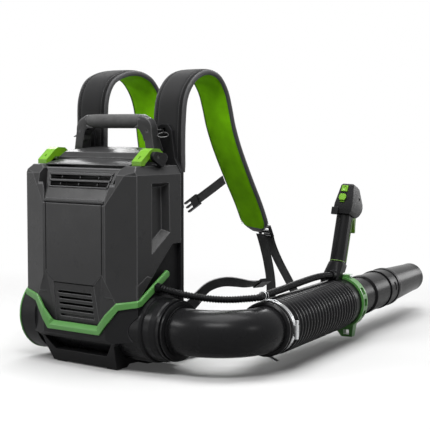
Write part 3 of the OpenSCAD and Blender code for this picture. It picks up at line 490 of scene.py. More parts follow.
def knitted_cloth(name, colour, cell, deep, fuzz, own_lay=True):
    """Knitted spacer cloth: rows of small round openings with raised yarn between them."""
    f = Finish(name, colour, 0.86, fuzz=fuzz, nap=0.5, shine=0.12)
    where = f.lay() if own_lay else f.place
    pits = f.cells(1 / (cell * MM), where, randomness=0.12)
    yarn = f.mottle(1.6, 0.4, 2600, 2, f.mottle(1.3, 0.7, 16, 3), where)
    # the openings are painted darker than the yarn: painted shade in them
    f.paint(f.tint(f.spread(pits, 1, 0, 0.12, 0.42), 0.42, yarn))
    body = f.bump(f.noise(60, 3, where), 0.5, 0.35)
    weave = f.bump(f.spread(pits, 0, 1, 0.05, 0.5), deep, 0.9, body)
    f.bump(f.noise(2400, 2, where), 0.06, 0.6, weave)


def brushed_cloth(name, colour, fuzz):
    """Close, slightly napped lining cloth, with soft shadows where it has been pressed."""
    f = Finish(name, colour, 0.82, fuzz=fuzz, shine=0.05)
    f.place = f.lay()
    # darker clouds painted as soft shade where the cloth is pressed
    pressed_shade = f.mottle(0.62, 0.75, 34, 4, start=0.38, end=0.7)
    f.paint(f.mottle(1.35, 0.4, 1500, 3, pressed_shade))
    grid = f.combine(f.ribs(0.0011, "X"), f.ribs(0.0011, "Y"), "ADD")
    soft = f.bump(grid, 0.08, 0.5, f.bump(f.noise(48, 3), 0.9, 0.4))
    f.bump(f.noise(2200, 3), 0.08, 0.7, soft)


def bound_edge(name, colour):
    """Folded binding tape with fine cross ribs."""
    f = Finish(name, colour, 0.7, fuzz=0.15)
    ribs = f.ribs(0.0009, "Y", f.lay())
    f.paint(f.tint(f.spread(ribs, 0, 0.6), 2.0))
    f.bump(ribs, 0.12, 0.7)


def woven_webbing(name, colour):
    """Woven webbing: cords along the band, crossed by finer picks."""
    f = Finish(name, colour, 0.62, shine=0.2, fuzz=0.08)
    where = f.lay()
    picks = f.combine(f.ribs(0.0011, "Y", where), 0.6)
    weave = f.combine(f.ribs(0.0021, "X", where), picks, "ADD")
    f.paint(f.tint(f.spread(weave, 0, 0.75, 0.4, 1.5), 2.3, f.mottle(1.4, 0.6, 30, 3)))
    f.bump(weave, 0.22, 0.8, f.bump(f.noise(60, 2, where), 0.4, 0.3))


def thread(name, colour):
    """Sewing thread or a thin cord."""
    f = Finish(name, colour, 0.6)
    f.paint(f.mottle(1.5, 0.6, 900, 2))
    f.bump(f.noise(1800, 2), 0.05, 0.6)


def finish(name):
    """The named finish, made on first use from the colours in the panel."""
    if name in bpy.data.materials:
        return bpy.data.materials[name]
    c = bpy.context.scene.blower_colours
    # colour and roughness, then for moulded_plastic: grain, relief, scuffs, shine, edge and
    # the strength of a painted edge highlight, and for polished_plastic: coat, shine and edge
    make, *values = {
        # the last numbers of the shell and the base are the strengths of their painted edge
        # highlight
        "shell plastic": (moulded_plastic, c.shell, 0.30, 0.8, 0.02, 0.3, 0.14, 3.0, 0.75),
        "base plastic": (moulded_plastic, c.base, 0.40, 0.8, 0.02, 0.3, 0.09, 2.0, 0.5),
        "grip plastic": (moulded_plastic, c.grip, 0.30, 1.1, 0.02, 0.2, 0.07, 1.0),
        # a near-black matt finish for painted shade, in the front panel's seam and the lid
        # grille's slots
        "dark gasket": (moulded_plastic, (0.0025,) * 3, 0.6, 0.8, 0.02, 0.1, 0.03, 0.4),
        "battery plastic": (moulded_plastic, c.battery, 0.5, 0.9, 0.06),
        "duct plastic": (polished_plastic, c.duct, 0.27, 0.0, 0.08),
        "wand plastic": (polished_plastic, c.duct, 0.24, 0.0, 0.035),
        "hose plastic": (polished_plastic, c.hose, 0.27, 0.0, 0.07, 0.3),
        "band plastic": (polished_plastic, c.band, 0.34, 0.1, 0.25),
        "lever plastic": (polished_plastic, c.lever, 0.33, 0.0, 0.22, 1.2),
        "lime inlay": (polished_plastic, lighter(c.lever, 0.55), 0.4, 0.3),
        "soft rubber": (soft_rubber, c.rubber),
        "plated steel": (bare_metal, (0.56, 0.57, 0.58), 0.28),
        "ground steel": (bare_metal, (0.62, 0.63, 0.64), 0.2, False),
        "bare aluminium": (bare_metal, (0.72, 0.73, 0.74), 0.36),
        "motor paint": (painted_metal, (0.12, 0.125, 0.13), 0.42),
        "black wire": (painted_metal, (0.012,) * 3, 0.4),
        "strap cover": (knitted_cloth, c.strap, 1.5, 0.16, 0.08),
        "pad mesh": (knitted_cloth, c.pad, 3.4, 0.7, 0.15, False),
        "strap side": (brushed_cloth, lighter(c.strap, 0.62), 0.1),
        "lime lining": (brushed_cloth, c.lining, 0.0),
        "binding": (bound_edge, c.binding),
        "webbing": (woven_webbing, c.webbing),
        "pale piping": (thread, (0.30, 0.30, 0.31)),
        "sewing thread": (thread, lighter(c.strap, 1.9)),
    }[name]
    make(name, *values)
    return bpy.data.materials[name]


# ---- settings ----


def tone(name, description, value):
    return FloatVectorProperty(name=name, description=description, default=value,
                               subtype="COLOR", min=0, max=1)


def measure(name, description, value, low, high):
    return FloatProperty(name=name, description=description, default=value, min=low, max=high,
                         unit="LENGTH")


def angle(name, description, degrees):
    return FloatProperty(name=name, description=description, default=math.radians(degrees),
                         subtype="ANGLE", unit="ROTATION")


class BlowerColours(bpy.types.PropertyGroup):
    shell: tone("Shell", "Colour of the upper housing and lid", (0.021, 0.021, 0.0215))
    base: tone("Base", "Colour of the base and backplate", (0.008, 0.008, 0.0085))
    duct: tone("Ducts", "Colour of the elbow, wand and nozzle", (0.007, 0.007, 0.0075))
    hose: tone("Hose", "Colour of the ribbed hose and conduit", (0.005, 0.005, 0.0055))
    grip: tone("Grip", "Colour of the control handle", (0.008, 0.008, 0.0085))
    band: tone("Trim", "Colour of the trim band and clamp ring", (0.060, 0.185, 0.042))
    lever: tone("Levers", "Colour of the latches and switches", (0.095, 0.235, 0.006))
    battery: tone("Battery", "Colour of the battery cases", (0.030, 0.031, 0.033))
    rubber: tone("Rubber", "Colour of feet and carrying grip", (0.016, 0.016, 0.016))
    strap: tone("Strap cover", "Colour of the straps' outer cloth", (0.010, 0.010, 0.0105))
    lining: tone("Strap lining", "Colour of the straps' inner cloth", (0.150, 0.410, 0.003))
    pad: tone("Back pad", "Colour of the back pad's mesh cloth", (0.028, 0.028, 0.030))
    binding: tone("Binding", "Colour of the sewn edges", (0.009, 0.009, 0.010))
    webbing: tone("Webbing", "Colour of the webbing", (0.006, 0.006, 0.0065))


class BlowerSizes(bpy.types.PropertyGroup):
    edge: FloatProperty(name="Moulded edge", min=0.1, max=3, default=1.1,
                        description="Rounding of the moulded edges, in millimetres")
    hose_ribs: IntProperty(name="Hose ribs", description="Number of ribs on the hose",
                           default=21, min=8, max=60)
    hose_radius: measure("Hose radius", "Radius of the hose over its ribs", 0.054, 0.04, 0.06)
    strap_width: measure("Strap width", "Width of a shoulder strap", 0.082, 0.05, 0.1)
    strap_thickness: measure("Strap thickness", "Thickness of a shoulder strap",
                            0.015, 0.006, 0.03)
    webbing_width: measure("Webbing width", "Width of the strap webbing", 0.025, 0.01, 0.05)
    stitch: measure("Stitch length", "Length of one visible stitch", 0.0034, 0.001, 0.01)
    conduit: measure("Conduit radius", "Outer radius of the cable's conduit",
                    0.007, 0.003, 0.01)


class StageSettings(bpy.types.PropertyGroup):
    distance: FloatVectorProperty(name="Camera", description="Place of the camera",
                                  default=(1.725, -1.752, 0.466), subtype="TRANSLATION",
                                  unit="LENGTH")
    turn: angle("Turn", "Camera's turn about the vertical", 39.56)
    tilt: angle("Tilt", "How far the camera looks down", 4.12)
    lens: FloatProperty(name="Lens", description="Focal length in millimetres",
                        default=104.65, min=20, max=300)
    backdrop: FloatProperty(name="Backdrop", description="Brightness of the white backdrop",
                            default=1.0, min=0, max=1)


# ---- camera and cable ----

# Where the cable runs: from the gland over the elbow to the first tie, in the housing's
# frame and then in the wand's, and from there along the hose to the handle
LOWER_ROUTE = in_mm((164, -20, 160), (178, -18, 157.5), (204, -3, 150), (234, 26, 142.5),
                    (264, 54, 139.5), (291, 74, 141.5))
COLLAR_ROUTE = ((-0.006, -0.012, 0.062), (-0.006, 0.0092, 0.063))
UPPER_ROUTE = in_mm((-6, 10.8, 63), (-6, 40, 63.5), (-6, 70, 64), (-6, 105, 64.5),
                    (-5, 155, 66.5), (-4, 220, 68.5), (-4, 270, 69), (-4, 315, 67.5),
                    (-4, 345, 64.6), (-4, 362, 64))

# One ridge of the conduit, from groove to groove, and the grooves' share of the radius
RIDGE = (0.0, 0.72, 1.0, 0.72)
GROOVE = 0.76
# Almost upright, so that no stretch of the route runs along it
UPRIGHT = Vector((0.02, 0.01, 1))


def conduit(name, route, radius, pitch=0.0052):
    """A corrugated conduit along a route."""
    line = smooth_line(route, 10)
    ridges = max(int(line_length(line) / pitch), 4)
    path = evenly(line, ridges * len(RIDGE))
    rings = []
    for i, (p, d) in enumerate(zip(path, headings(path))):
        side = d.cross(UPRIGHT).normalized()
        share = GROOVE + (1 - GROOVE) * RIDGE[i % len(RIDGE)]
        rings.append(ring(p, radius * share, side, d.cross(side), 20))
    return Loft().stack(rings).piece(name, "hose plastic"), path


class BLOWER_OT_camera(bpy.types.Operator):
    """Camera that looks at the machine from its front right"""

    bl_idname = "blower.camera"
    bl_label = "Camera"

    def execute(self, context):
        s = context.scene.blower_stage
        data = bpy.data.cameras.new("Camera")
        data.lens, data.sensor_width = s.lens, 36
        data.clip_start, data.clip_end = 0.05, 50
        camera = bpy.data.objects.new("Camera", data)
        camera.location = s.distance
        camera.rotation_euler = (HALF_TURN / 2 - s.tilt, 0, s.turn)
        context.scene.collection.objects.link(camera)
        context.scene.camera = camera
        return {"FINISHED"}


class BLOWER_OT_cable(bpy.types.Operator):
    """Cable in its conduit, from the housing over the elbow and the hose to the handle"""

    bl_idname = "blower.cable"
    bl_label = "Cable"

    def execute(self, context):
        radius = context.scene.blower_sizes.conduit
        wand = wand_frame()
        lower = LOWER_ROUTE + [wand @ Vector(p) for p in COLLAR_ROUTE]
        upper = [wand @ p for p in UPPER_ROUTE]
        for name, node, route, bodies in (
            ("cable_lower", "conduit_lower", lower, ("housing", "elbow")),
            ("cable_upper", "conduit_upper", upper, ("elbow", "wand")),
        ):
            piece, path = conduit(name, route, radius)
            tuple(route[1])
            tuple(route[-2])
            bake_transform(piece)
            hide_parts(node)
            line_length(path)
            [tuple(p) for p in path[::3] + [path[-1]]]
        return {"FINISHED"}


# ---- housing ----

# Outlines in millimetres. Right half of the trim band, from the chin outwards. Each row has
# a point on the upper edge and one on the lower edge, the way out of the housing there, how
# far out the upper edge and the inner side stand, and where the sloping top turns into the
# face, as a share of the band's height
BAND = (
    ((60, -90, 86), (70, -90, 70), (0, -1), -5.6, -7.4, 0.50),
    ((63.5, -90, 89.6), (72.2, -90, 72.6), (0, -1), -0.6, -4.0, 0.28),
    ((84, -90, 110.3), (84, -90, 86.7), (0.15, -1), 1.8, -2.5, 0.20),
    ((107, -83.4, 133.5), (112, -81.9, 120), (0.277, -0.961), 1.8, -2.5, 0.22),
    ((150, -71, 140.4), (150, -71, 128), (1, -0.85), 1.8, -2.5, 0.20),
    ((150, -66, 141.8), (150, -62, 129.6), (1, 0), 1.8, -2.5, 0.20),
    ((150, 10, 191), (150, 13, 178), (1, 0), 1.8, -2.5, 0.20),
    ((150, 14.4, 188.4), (150, 15.4, 181.6), (1, 0), 1.8, -2.5, 0.20),
)
BAND_FACE = 3.5

# Right half of the front panel's joint, as (x, z), and the near-black strip of painted shade in
# it: half its width, its depth and how far its lengths lap at the corners
JOINT = ((76.2, 316), (76.2, 184.4), (54, 162.2))
JOINT_Y = -90.12
SEAM_SHADE_HALF, SEAM_SHADE_DEEP, SEAM_SHADE_LAP = 1.1, 1.2, 0.4

# The lid grille's plate: where its lower edge is and how far it leans back, then heights on
# it of its three bars, of the slots that posts cross and of the ends of its rim, and then
# the rim's width, the posts' places and half a post's width
GRILLE_FOOT, GRILLE_LEAN = (0, -0.0774, 0.343), math.atan2(12.8, 35.6)
GRILLE_BARS = ((3.2, 5.6), (15.4, 19.2), (28.4, 33.8))
GRILLE_SLOTS = ((8.2, 12.4), (22.0, 26.2))
GRILLE_LOW, GRILLE_HIGH = 4, 32
GRILLE_RIM, POSTS, POST_HALF = 3.4, (-50, 0, 50), 0.9

# Right half of the thin wall above and behind the band: the cheek beside the louvres in two
# faces, the strip below it, the facet beside the front panel and the flank, each with the
# way to its inner side
CHEEK, CHIN, FACET = (76, -90.3, 185.2), (59, -79.4, 86), (107, -83.8, 131)
WALLS = (
    ((CHEEK, (54.2, -90.3, 163), CHIN), (0, 2, 0)),
    ((CHEEK, CHIN, FACET), (0, 2, 0)),
    ((CHIN, (62, -79.4, 82), (110, -82.8, 128), FACET), (0, 2, 0)),
    ([(x, -90 + (x - 84) * 19 / 66 - 0.25, z) for x, z in (
        (84.2, 316), (84.2, 171), (107.2, 130), (149.9, 136.5), (149.9, 372.4),
        (123.4, 372.4))], (-0.6, 2, 0)),
    ([(150.05, y, z) for y, z in (
        (-71, 140.6), (-67, 141.2), (-30, 180), (-44, 184), (-71, 168))], (-2, 0, 0)),
)
# The hole in the right ear in metres, and the wire to it from the carrying handle's leg
EAR = (0.1074, 0.052, 0.453)
LINK = ((91.4, 24, 455.6), (94.5, 36, 456.2), (99, 46, 456.6), (104, 55, 456.4))


class BLOWER_OT_housing(bpy.types.Operator):
    """Upper housing, lid, louvres, base and trim band"""

    bl_idname = "blower.housing"
    bl_label = "Housing"

    def execute(self, context):
        dress({
            "shell plastic": "carry_handle housing_shell front_panel battery_lid louvre_panel",
            # the lid grille's plate is painted near-black: painted shade in its slots, behind
            # the grille bars
            "soft rubber": "handle_grip rubber_feet", "dark gasket": "lid_grille",
            "base plastic": "base_housing intake_grille backplate latch_catches",
            "band plastic": "intake_ring", "lever plastic": "latch_left latch_right",
            "duct plastic": "fan_duct cable_gland", "ground steel": "lid_hinge_pins"})
        self.gasket()
        self.grille_bars()
        self.lower_panels()
        self.trim(context.scene.blower_sizes.edge)
        self.screws()
        self.wire_loops()
        return {"FINISHED"}

    def trim(self, edge):
        """The band along the chin, up beside the louvres and round the ridges to the sides."""
        rings = []
        for side, rows in ((-1, BAND[::-1]), (1, BAND)):
            for upper, lower, way, top, inner, turn in rows:
                u, w, out = Vector(upper), Vector(lower), Vector((*way, 0))
                section = (u + inner * out, u + top * out, u.lerp(w, turn) + BAND_FACE * out,
                           w + BAND_FACE * out, w + inner * out)
                rings.append([MM * Vector((side * q[0], q[1], q[2])) for q in section])
        band = Loft().stack(rings).piece("trim", "band plastic")
        rounded_edges(band, edge, CREASE)
        fitted(creased(band), "housing", "trim_band")

    def gasket(self):
        """A near-black strip in the joint round the front panel: painted shade in the seam."""
        loft = Loft()
        right = [Vector((x, JOINT_Y, z)) for x, z in JOINT]
        line = right + flipped(right[::-1])
        for a, b in zip(line, line[1:]):
            d = (b - a).normalized()
            across = Vector((d.z, 0, -d.x)) * SEAM_SHADE_HALF
            corners = ((-1, SEAM_SHADE_DEEP), (1, SEAM_SHADE_DEEP), (1, 0), (-1, 0))
            loft.stack([[MM * (q + shift * across + Vector((0, y, 0)) + d * lap)
                         for shift, y in corners]
                        for q, lap in ((a, -SEAM_SHADE_LAP), (b, SEAM_SHADE_LAP))])
        fitted(loft.piece("panel_seam_shade", "dark gasket", flat=True), "housing")

    def grille_bars(self):
        """The grille's frame and middle bar, with the small posts that cross its slots."""
        place = Matrix.Translation(GRILLE_FOOT) @ Matrix.Rotation(-GRILLE_LEAN, 4, "X")

        def half(z):
            """Half of the plate's width, which grows with the height on it."""
            return 79.6 + 8 * (z - 3) / 31

        low, high, rim = GRILLE_LOW, GRILLE_HIGH, GRILLE_RIM
        plates = [((-half(a), a), (half(a), a), (half(b), b), (-half(b), b))
                  for a, b in GRILLE_BARS]
        plates += [((s * (half(low) - rim), low), (s * half(low), low),
                    (s * half(high), high), (s * (half(high) - rim), high)) for s in (-1, 1)]
        posts = [((x - POST_HALF, a), (x + POST_HALF, a),
                  (x + POST_HALF, b), (x - POST_HALF, b))
                 for x in POSTS for a, b in GRILLE_SLOTS]
        loft = Loft()
        for outlines, front in ((plates, -1.3), (posts, -0.5)):
            for outline in outlines:
                loft.stack([[place @ (MM * Vector((x, y, z))) for x, z in outline]
                            for y in (1.0, front)])
        fitted(loft.piece("grille_bars", "shell plastic", flat=True), "lid")

    def lower_panels(self):
        """The wall between the shell's lower edge and the band, up to the shell's creases."""
        loft = Loft()
        for side in (-1, 1):
            for outline, inwards in WALLS:
                loft.stack([[MM * Vector((side * (q[0] + shift[0]), q[1] + shift[1], q[2]))
                             for q in outline] for shift in ((0, 0, 0), inwards)])
        fitted(loft.piece("lower_panels", "shell plastic", flat=True), "housing")

    def screws(self):
        """Screws of the backplate, of the carrying grip and of the latches' catches."""
        plate = [(Vector((side * 0.142, BACK_FACE, z * MM)), (0, 1, 0))
                 for side in (-1, 1) for z in (70, 150, 230, 310)]
        screw_heads("plate_screws", plate, 0.0040, 0.0018, "plated steel", "housing",
                    "frame_screws")
        grip = [(Vector((side * 0.0914, 0.0256, 0.455)), (0, -1, 0)) for side in (-1, 1)]
        screw_heads("grip_screws", grip, 0.0029, 0.0040, "black wire", "housing")
        catches = [(Vector((side * 0.1461, -0.010, 0.406)), (side, 0, 0)) for side in (-1, 1)]
        screw_heads("catch_screws", catches, 0.0031, 0.0022, "black wire", "housing")

    def wire_loops(self):
        """Wire loops through the ears' holes, each linked to the carrying handle's leg."""
        lines, links = [], []
        radius, middle, opening = 0.0105, -0.0158, 2.93
        leg, end, bend = 0.0022, 0.0046, -0.001
        for side in (-1, 1):
            place = (Matrix.Translation((side * EAR[0], EAR[1], EAR[2]))
                     @ Matrix.Rotation(side * math.radians(33), 4, "Z")
                     @ Matrix.Rotation(math.radians(24), 4, "X"))
            bow = [(radius * math.sin(a), middle - radius * math.cos(a))
                   for a in np.linspace(-opening, opening, 44)]
            wire = [(-leg, end), (-leg, bend)] + bow + [(leg, bend), (leg, end)]
            lines.append([place @ Vector((side * x, y, 0)) for x, y in wire])
            links.append(smooth_line(in_mm(*[(side * x, y, z) for x, y, z in LINK]), 6))
        fitted(rods("harness_loops", lines, 0.0011, "black wire", 12), "housing",
               "harness_rings")
        fitted(rods("harness_links", links, 0.0007, "black wire"), "housing")


class BLOWER_OT_drive(bpy.types.Operator):
    """Fan, shaft, motor, stator vanes, controller, battery packs and dock"""

    bl_idname = "blower.drive"
    bl_label = "Fan, motor and batteries"

    def execute(self, context):
        dress({"duct plastic": "impeller stator_vanes", "motor paint": "motor",
               "ground steel": "fan_shaft shaft_bearings", "bare aluminium": "controller",
               "battery plastic": "battery_left battery_right",
               "base plastic": "battery_dock"})
        return {"FINISHED"}


# ---- air path ----


# The hose in metres: its radii between the ribs and in the bore, where it starts and how
# far it reaches into the cuff, and the waves of its bore. A rib takes up this share of the
# pitch, and a lower power makes it squarer
HOSE_ROOT, HOSE_BORE, HOSE_MOUTH, HOSE_TUCK = 0.0498, 0.0476, 0.0183, 0.014
BORE_WAVE, RIB_SHARE, RIB_POWER = 0.0007, 0.92, 0.62


def hose_profile(radius, ribs, points=10):
    """Closed profile of the ribbed hose, as (radius, distance): cuffs, ribs and a bore."""
    first, end = HOSE_BEND[0], HOSE_LENGTH + HOSE_TUCK
    outside = [(HOSE_ROOT, HOSE_MOUTH), (HOSE_ROOT, 0.038)]
    pitch = (HOSE_LENGTH - first) / ribs
    for i in range(ribs):
        for t in (k / points for k in range(points)):
            swell = max(math.sin(HALF_TURN * min(t / RIB_SHARE, 1)), 0) ** RIB_POWER
            outside.append((HOSE_ROOT + (radius - HOSE_ROOT) * swell,
                            first + pitch * i + pitch * t))
    outside += [(HOSE_ROOT, end), (HOSE_BORE, end)]
    waves = ribs * 2
    inside = [(HOSE_BORE + BORE_WAVE * (k % 2),
               HOSE_LENGTH + 0.010 - (HOSE_LENGTH - 0.012) * k / waves) for k in range(waves)]
    return outside + inside + [(HOSE_BORE, HOSE_MOUTH)]


class BLOWER_OT_air_path(bpy.types.Operator):
    """Elbow, clamp, ribbed hose, cuff, clamp ring, wand and nozzle"""

    bl_idname = "blower.air_path"
    bl_label = "Hose and wand"

    def execute(self, context):
        sizes = context.scene.blower_sizes
        dress({"duct plastic": "elbow", "wand plastic": "hose_cuff wand_tube nozzle",
               "plated steel": "hose_clamp clamp_screw", "band plastic": "swivel_ring"})
        wand = wand_frame()
        profile = hose_profile(sizes.hose_radius, sizes.hose_ribs)
        rings = [[wand @ Vector((r * math.cos(a), y, r * math.sin(a))) for r, y in profile]
                 for a in turns(112)]
        hose = Loft().stack(rings, loop=True).piece("ribbed_hose", "hose plastic")
        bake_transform(hose)
        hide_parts("air_hose")
        self.clamp_slots(wand)
        self.wire_ties(wand)
        self.screws(wand)
        return {"FINISHED"}

    def clamp_slots(self, wand):
        """The row of slanted slots that the clamp's screw bites into."""
        loft = Loft()
        radius, depth, middle = 0.0514, 0.0003, 0.028
        count, first, step = 46, math.radians(30), 0.05
        half_turn, half_width, slant = 0.011, 0.0038, 0.016
        corners = ((-half_turn - slant, -half_width), (half_turn - slant, -half_width),
                   (half_turn + slant, half_width), (-half_turn + slant, half_width))
        for k in range(count):
            a = first + k * step
            loft.stack([[wand @ Vector((r * math.cos(a + turn), middle + y,
                                        r * math.sin(a + turn))) for turn, y in corners]
                        for r in (radius - depth, radius)])
        fitted(loft.piece("clamp_slots", "black wire", flat=True), "elbow")

    def wire_ties(self, wand):
        """Two twisted wires that hold the cable on the elbow's collar."""
        lines, wire, reach, pitch = [], 0.0006, 0.0081, 0.0035
        x, _, z = COLLAR_ROUTE[1]
        start, end = math.radians(-62), math.radians(242)
        # a tie's place along the hose, how far it leans and the length of its tail
        for y, lean, tail in ((0.0056, 0.0016, 0.012), (0.0158, -0.0014, 0.016)):
            lines.append([wand @ Vector((x + reach * math.cos(a), y + lean * math.sin(a),
                                         z + reach * math.sin(a)))
                          for a in np.linspace(start, end, 40)])
            ends = ((-0.0022, y, 0.0558), (0.004, y + 0.001, 0.0553),
                    (0.004 + 0.6 * tail, y + 0.004, 0.0545), (0.004 + tail, y + 0.006, 0.0515))
            core = smooth_line([wand @ Vector(p) for p in ends], 6)
            lines += [twist(core, wire, pitch), twist(core, wire, pitch, HALF_TURN)]
        fitted(rods("wire_ties", lines, wire, "plated steel"), "elbow", "cable_ties")

    def screws(self, wand):
        """Bolt of the clamp ring and the screws of the handle's foot."""
        turn = wand.to_3x3()
        bolt = [(wand @ Vector((0.0216, 0.415, 0.0574)), turn @ Vector((1, 0, 0)))]
        screw_heads("ring_bolt", bolt, 0.0036, 0.0026, "plated steel", "wand")
        foot = [(wand @ Vector((-0.0306, 0.366 + y, 0.046)), turn @ Vector((-1, 0, 0)))
                for y in (0.012, 0.028)]
        screw_heads("foot_screws", foot, 0.0030, 0.0014, "plated steel", "wand")


class BLOWER_OT_controls(bpy.types.Operator):
    """Control handle with its trigger, power button, speed slider and cruise lever"""

    bl_idname = "blower.controls"
    bl_label = "Control handle"

    def execute(self, context):
        dress({"grip plastic": "handle_foot grip_body grip_head",
               "lever plastic": "trigger power_button speed_slider",
               "base plastic": "cruise_lever"})
        fitted(self.inlay(), "wand")
        return {"FINISHED"}

    def inlay(self):
        """Thin line that parts the grip's halves: up the cheeks and round the back."""
        def outline(a, z):
            r = min(0.0195, 0.0145 / max(abs(math.sin(a)), 1e-6))
            return Vector((r * math.sin(a), -r * math.cos(a), 0)) + Vector((0, 0, z))

        # how far round the cheeks the line runs, its lower and upper ends, the radius of its
        # corners and how much further back it lies below them
        limit, low, high, corner, draw = math.radians(118), 0.0925, 0.191, 0.010, 0.30
        arms = []
        for side in (-1, 1):
            arm = [outline(side * limit, z) for z in np.linspace(high, low + corner, 14)]
            for k in range(1, 7):
                t = k / 6 * HALF_TURN / 2
                share = 1 - draw * (1 - math.cos(t))
                arm.append(outline(side * limit * share, low + corner * (1 - math.sin(t))))
            arms.append(arm)
        back = [outline(limit * (1 - draw) * u, low) for u in np.linspace(-0.96, 0.96, 41)]
        line = evenly([handle_frame() @ p for p in arms[0] + back + arms[1][::-1]], 150)
        return rods("grip_inlay", [line], 0.0009, "lime inlay")


# ---- harness ----

# Middle lines of the straps and bands in millimetres, those of the left side flipped over.
# A strap stays at one distance from the middle, and both slacks end at the same anchor
STRAP_X = 105
ANCHOR = ((105, 105, 14), (105, 76, 28), (105, 61.6, 36.5))
RIGHT_STRAP = in_mm(*((STRAP_X, y, z) for y, z in (
    (68, 375), (68, 425), (70, 470), (77, 517), (98, 549), (124, 565), (152, 569), (181, 559),
    (203, 533), (216, 500), (228, 462), (250, 415), (286, 354), (323, 295), (350, 242))))
LEFT_STRAP = in_mm(*((STRAP_X, y, z) for y, z in (
    (68, 375), (68.4, 425), (69, 470), (72, 517), (88, 550), (116, 566), (150, 573),
    (180, 570), (206, 558), (228, 533), (241, 503), (249, 462), (257, 415), (270, 354),
    (284, 295), (292, 238))))
RIGHT_SLACK = in_mm((107, 360, 234), (107, 366, 222), (108, 375, 198), (108, 385, 170),
                    (108, 394, 134), (107, 397, 100), (106, 390, 62), (105, 368, 30),
                    (104, 330, 12), (104, 280, 5), (104, 220, 4), (105, 160, 6), *ANCHOR)
RIGHT_TAIL = in_mm((112, 380.2, 234.2), (112, 393.4, 206), (112, 419, 169), (112, 456, 124),
                   (111, 478, 96), (109, 492, 62), (106, 490, 30), (102, 474, 8), (97, 446, 4))
LEFT_SLACK = in_mm((107, 297, 227), (107, 301, 208), (108, 308, 170), (108, 313, 134),
                   (107, 315, 100), (106, 311, 62), (105, 298, 30), (104, 268, 12),
                   (104, 236, 5), (104, 196, 4), (105, 150, 6), *ANCHOR)
LEFT_TAIL = in_mm((110, 312, 218), (110, 318, 186), (110, 325, 150), (110, 329, 110),
                  (109, 331, 70), (108, 334, 40), (107, 343, 16), (105, 362, 5),
                  (102, 388, 4))
CHEST_RIGHT = in_mm((61, 292, 351), (35, 292, 334.6), (10, 291.4, 319), (-8, 291, 308))
CHEST_LEFT = in_mm((-112, 292.2, 297), (-102, 294.2, 297), (-96, 297, 297),
                   (-91, 299.4, 297))
WAIST = in_mm((125, 62, 104), (131, 80, 106), (138, 98, 115), (147, 111, 132),
              (155, 124, 146), (162, 142, 153), (168, 168, 155), (174, 196, 151),
              (180, 222, 146), (184.8, 246, 145))

# Finishes of a strap's parts, and half of its section: from the right edge over the lined
# side to the middle, then from the middle of the cover back to the edge, as (across, depth,
# finish), with both measures in shares of half the strap's width and thickness
STRAP_FINISHES = ("strap cover", "lime lining", "binding", "strap side")
COVER, LINING, BINDING, SIDE = range(4)
LINED_SIDE = ((1.0, 0.0, BINDING), (0.992, 0.3, BINDING), (0.965, 0.55, BINDING),
              (0.93, 0.66, BINDING), (0.89, 0.64, BINDING), (0.862, 0.5, LINING),
              (0.83, 0.66, LINING), (0.76, 0.84, LINING), (0.62, 0.95, LINING),
              (0.42, 1.0, LINING), (0.2, 1.02, LINING), (0.0, 1.03, LINING))
COVER_SIDE = ((0.2, -1.0, COVER), (0.42, -0.99, COVER), (0.56, -0.95, COVER),
              (0.625, -0.88, COVER), (0.66, -0.72, SIDE), (0.695, -0.85, SIDE),
              (0.76, -0.86, SIDE), (0.83, -0.78, SIDE), (0.865, -0.58, BINDING),
              (0.9, -0.68, BINDING), (0.94, -0.64, BINDING), (0.975, -0.45, BINDING),
              (0.995, -0.22, BINDING))
STRAP_SECTION = (*LINED_SIDE, *((-u, v, k) for u, v, k in LINED_SIDE[-2::-1]),
                 *((-u, v, k) for u, v, k in COVER_SIDE[::-1]), (0.0, -1.0, COVER),
                 *COVER_SIDE)
STRAP_STEP = 0.006
STRAP_TAPER, BOUND_END = 0.030, 0.010

# A stitch from end to end, as (along, radius) in shares of its length and radius
STITCH = ((-0.5, 0.25), (-0.3, 1.0), (0.3, 1.0), (0.5, 0.25))


def strap(name, line, side, half, thick):
    """A padded strap: knitted cover, sewn side strips, bound edges and a lime lining."""
    total = line_length(line)
    count = int(total / STRAP_STEP)
    # a strap turns a little outwards towards its lower end
    frames = band_frames(evenly(line, count), (side, 0, 0), (0.98 * side, -0.2, 0))
    rings, lay, which = [], [], []
    for i, (p, d, s, n) in enumerate(frames):
        along = total * i / count
        rest = total - along
        # the lower end is round, both ends are thinner, and the filling is a little uneven
        narrow = math.sqrt(max(1 - max(STRAP_TAPER - rest, 0) ** 2 / STRAP_TAPER**2, 0.12))
        slim = min(1.0, 0.55 + along / 0.03) * min(1.0, 0.6 + rest / 0.02)
        puff = 1 + 0.03 * math.sin(along * 38) * math.sin(along * 17 + 1)
        rings.append([p + s * (half * narrow * u)
                      + n * (side * thick * slim * v * (puff if abs(u) < 0.8 else 1))
                      for u, v, k in STRAP_SECTION])
        lay += [(half * u, along, 0) for u, v, k in STRAP_SECTION]
    for i in range(count):
        bound = total - total * (i + 0.5) / count < BOUND_END
        for a, b in zip(STRAP_SECTION, STRAP_SECTION[1:] + STRAP_SECTION[:1]):
            # a face takes the finish of its point nearer the middle
            inner = b if abs(a[0]) >= abs(b[0]) else a
            which.append(BINDING if bound else inner[2])
    which += [BINDING, BINDING]
    return Loft().stack(rings).piece(name, *STRAP_FINISHES, which=which, lay=lay), frames


def stitches(name, frames, rows, size, pitch=0.0048, margin=0.014):
    """Rows of raised stitches on a band. Each row is (across, height) in metres."""
    loft = Loft()
    step = (frames[1][0] - frames[0][0]).length
    marks = np.arange(margin, step * (len(frames) - 1) - margin, pitch)
    for across, height in rows:
        for mark in marks:
            i = min(int(mark / step), len(frames) - 2)
            p = frames[i][0].lerp(frames[i + 1][0], mark / step - i)
            d, s, n = frames[i][1:]
            p = p + s * across + n * height
            loft.stack([ring(p + d * (y * size), size * 0.13 * r, s, n, 6)
                        for y, r in STITCH])
    return loft.piece(name, "sewing thread", outwards=False)


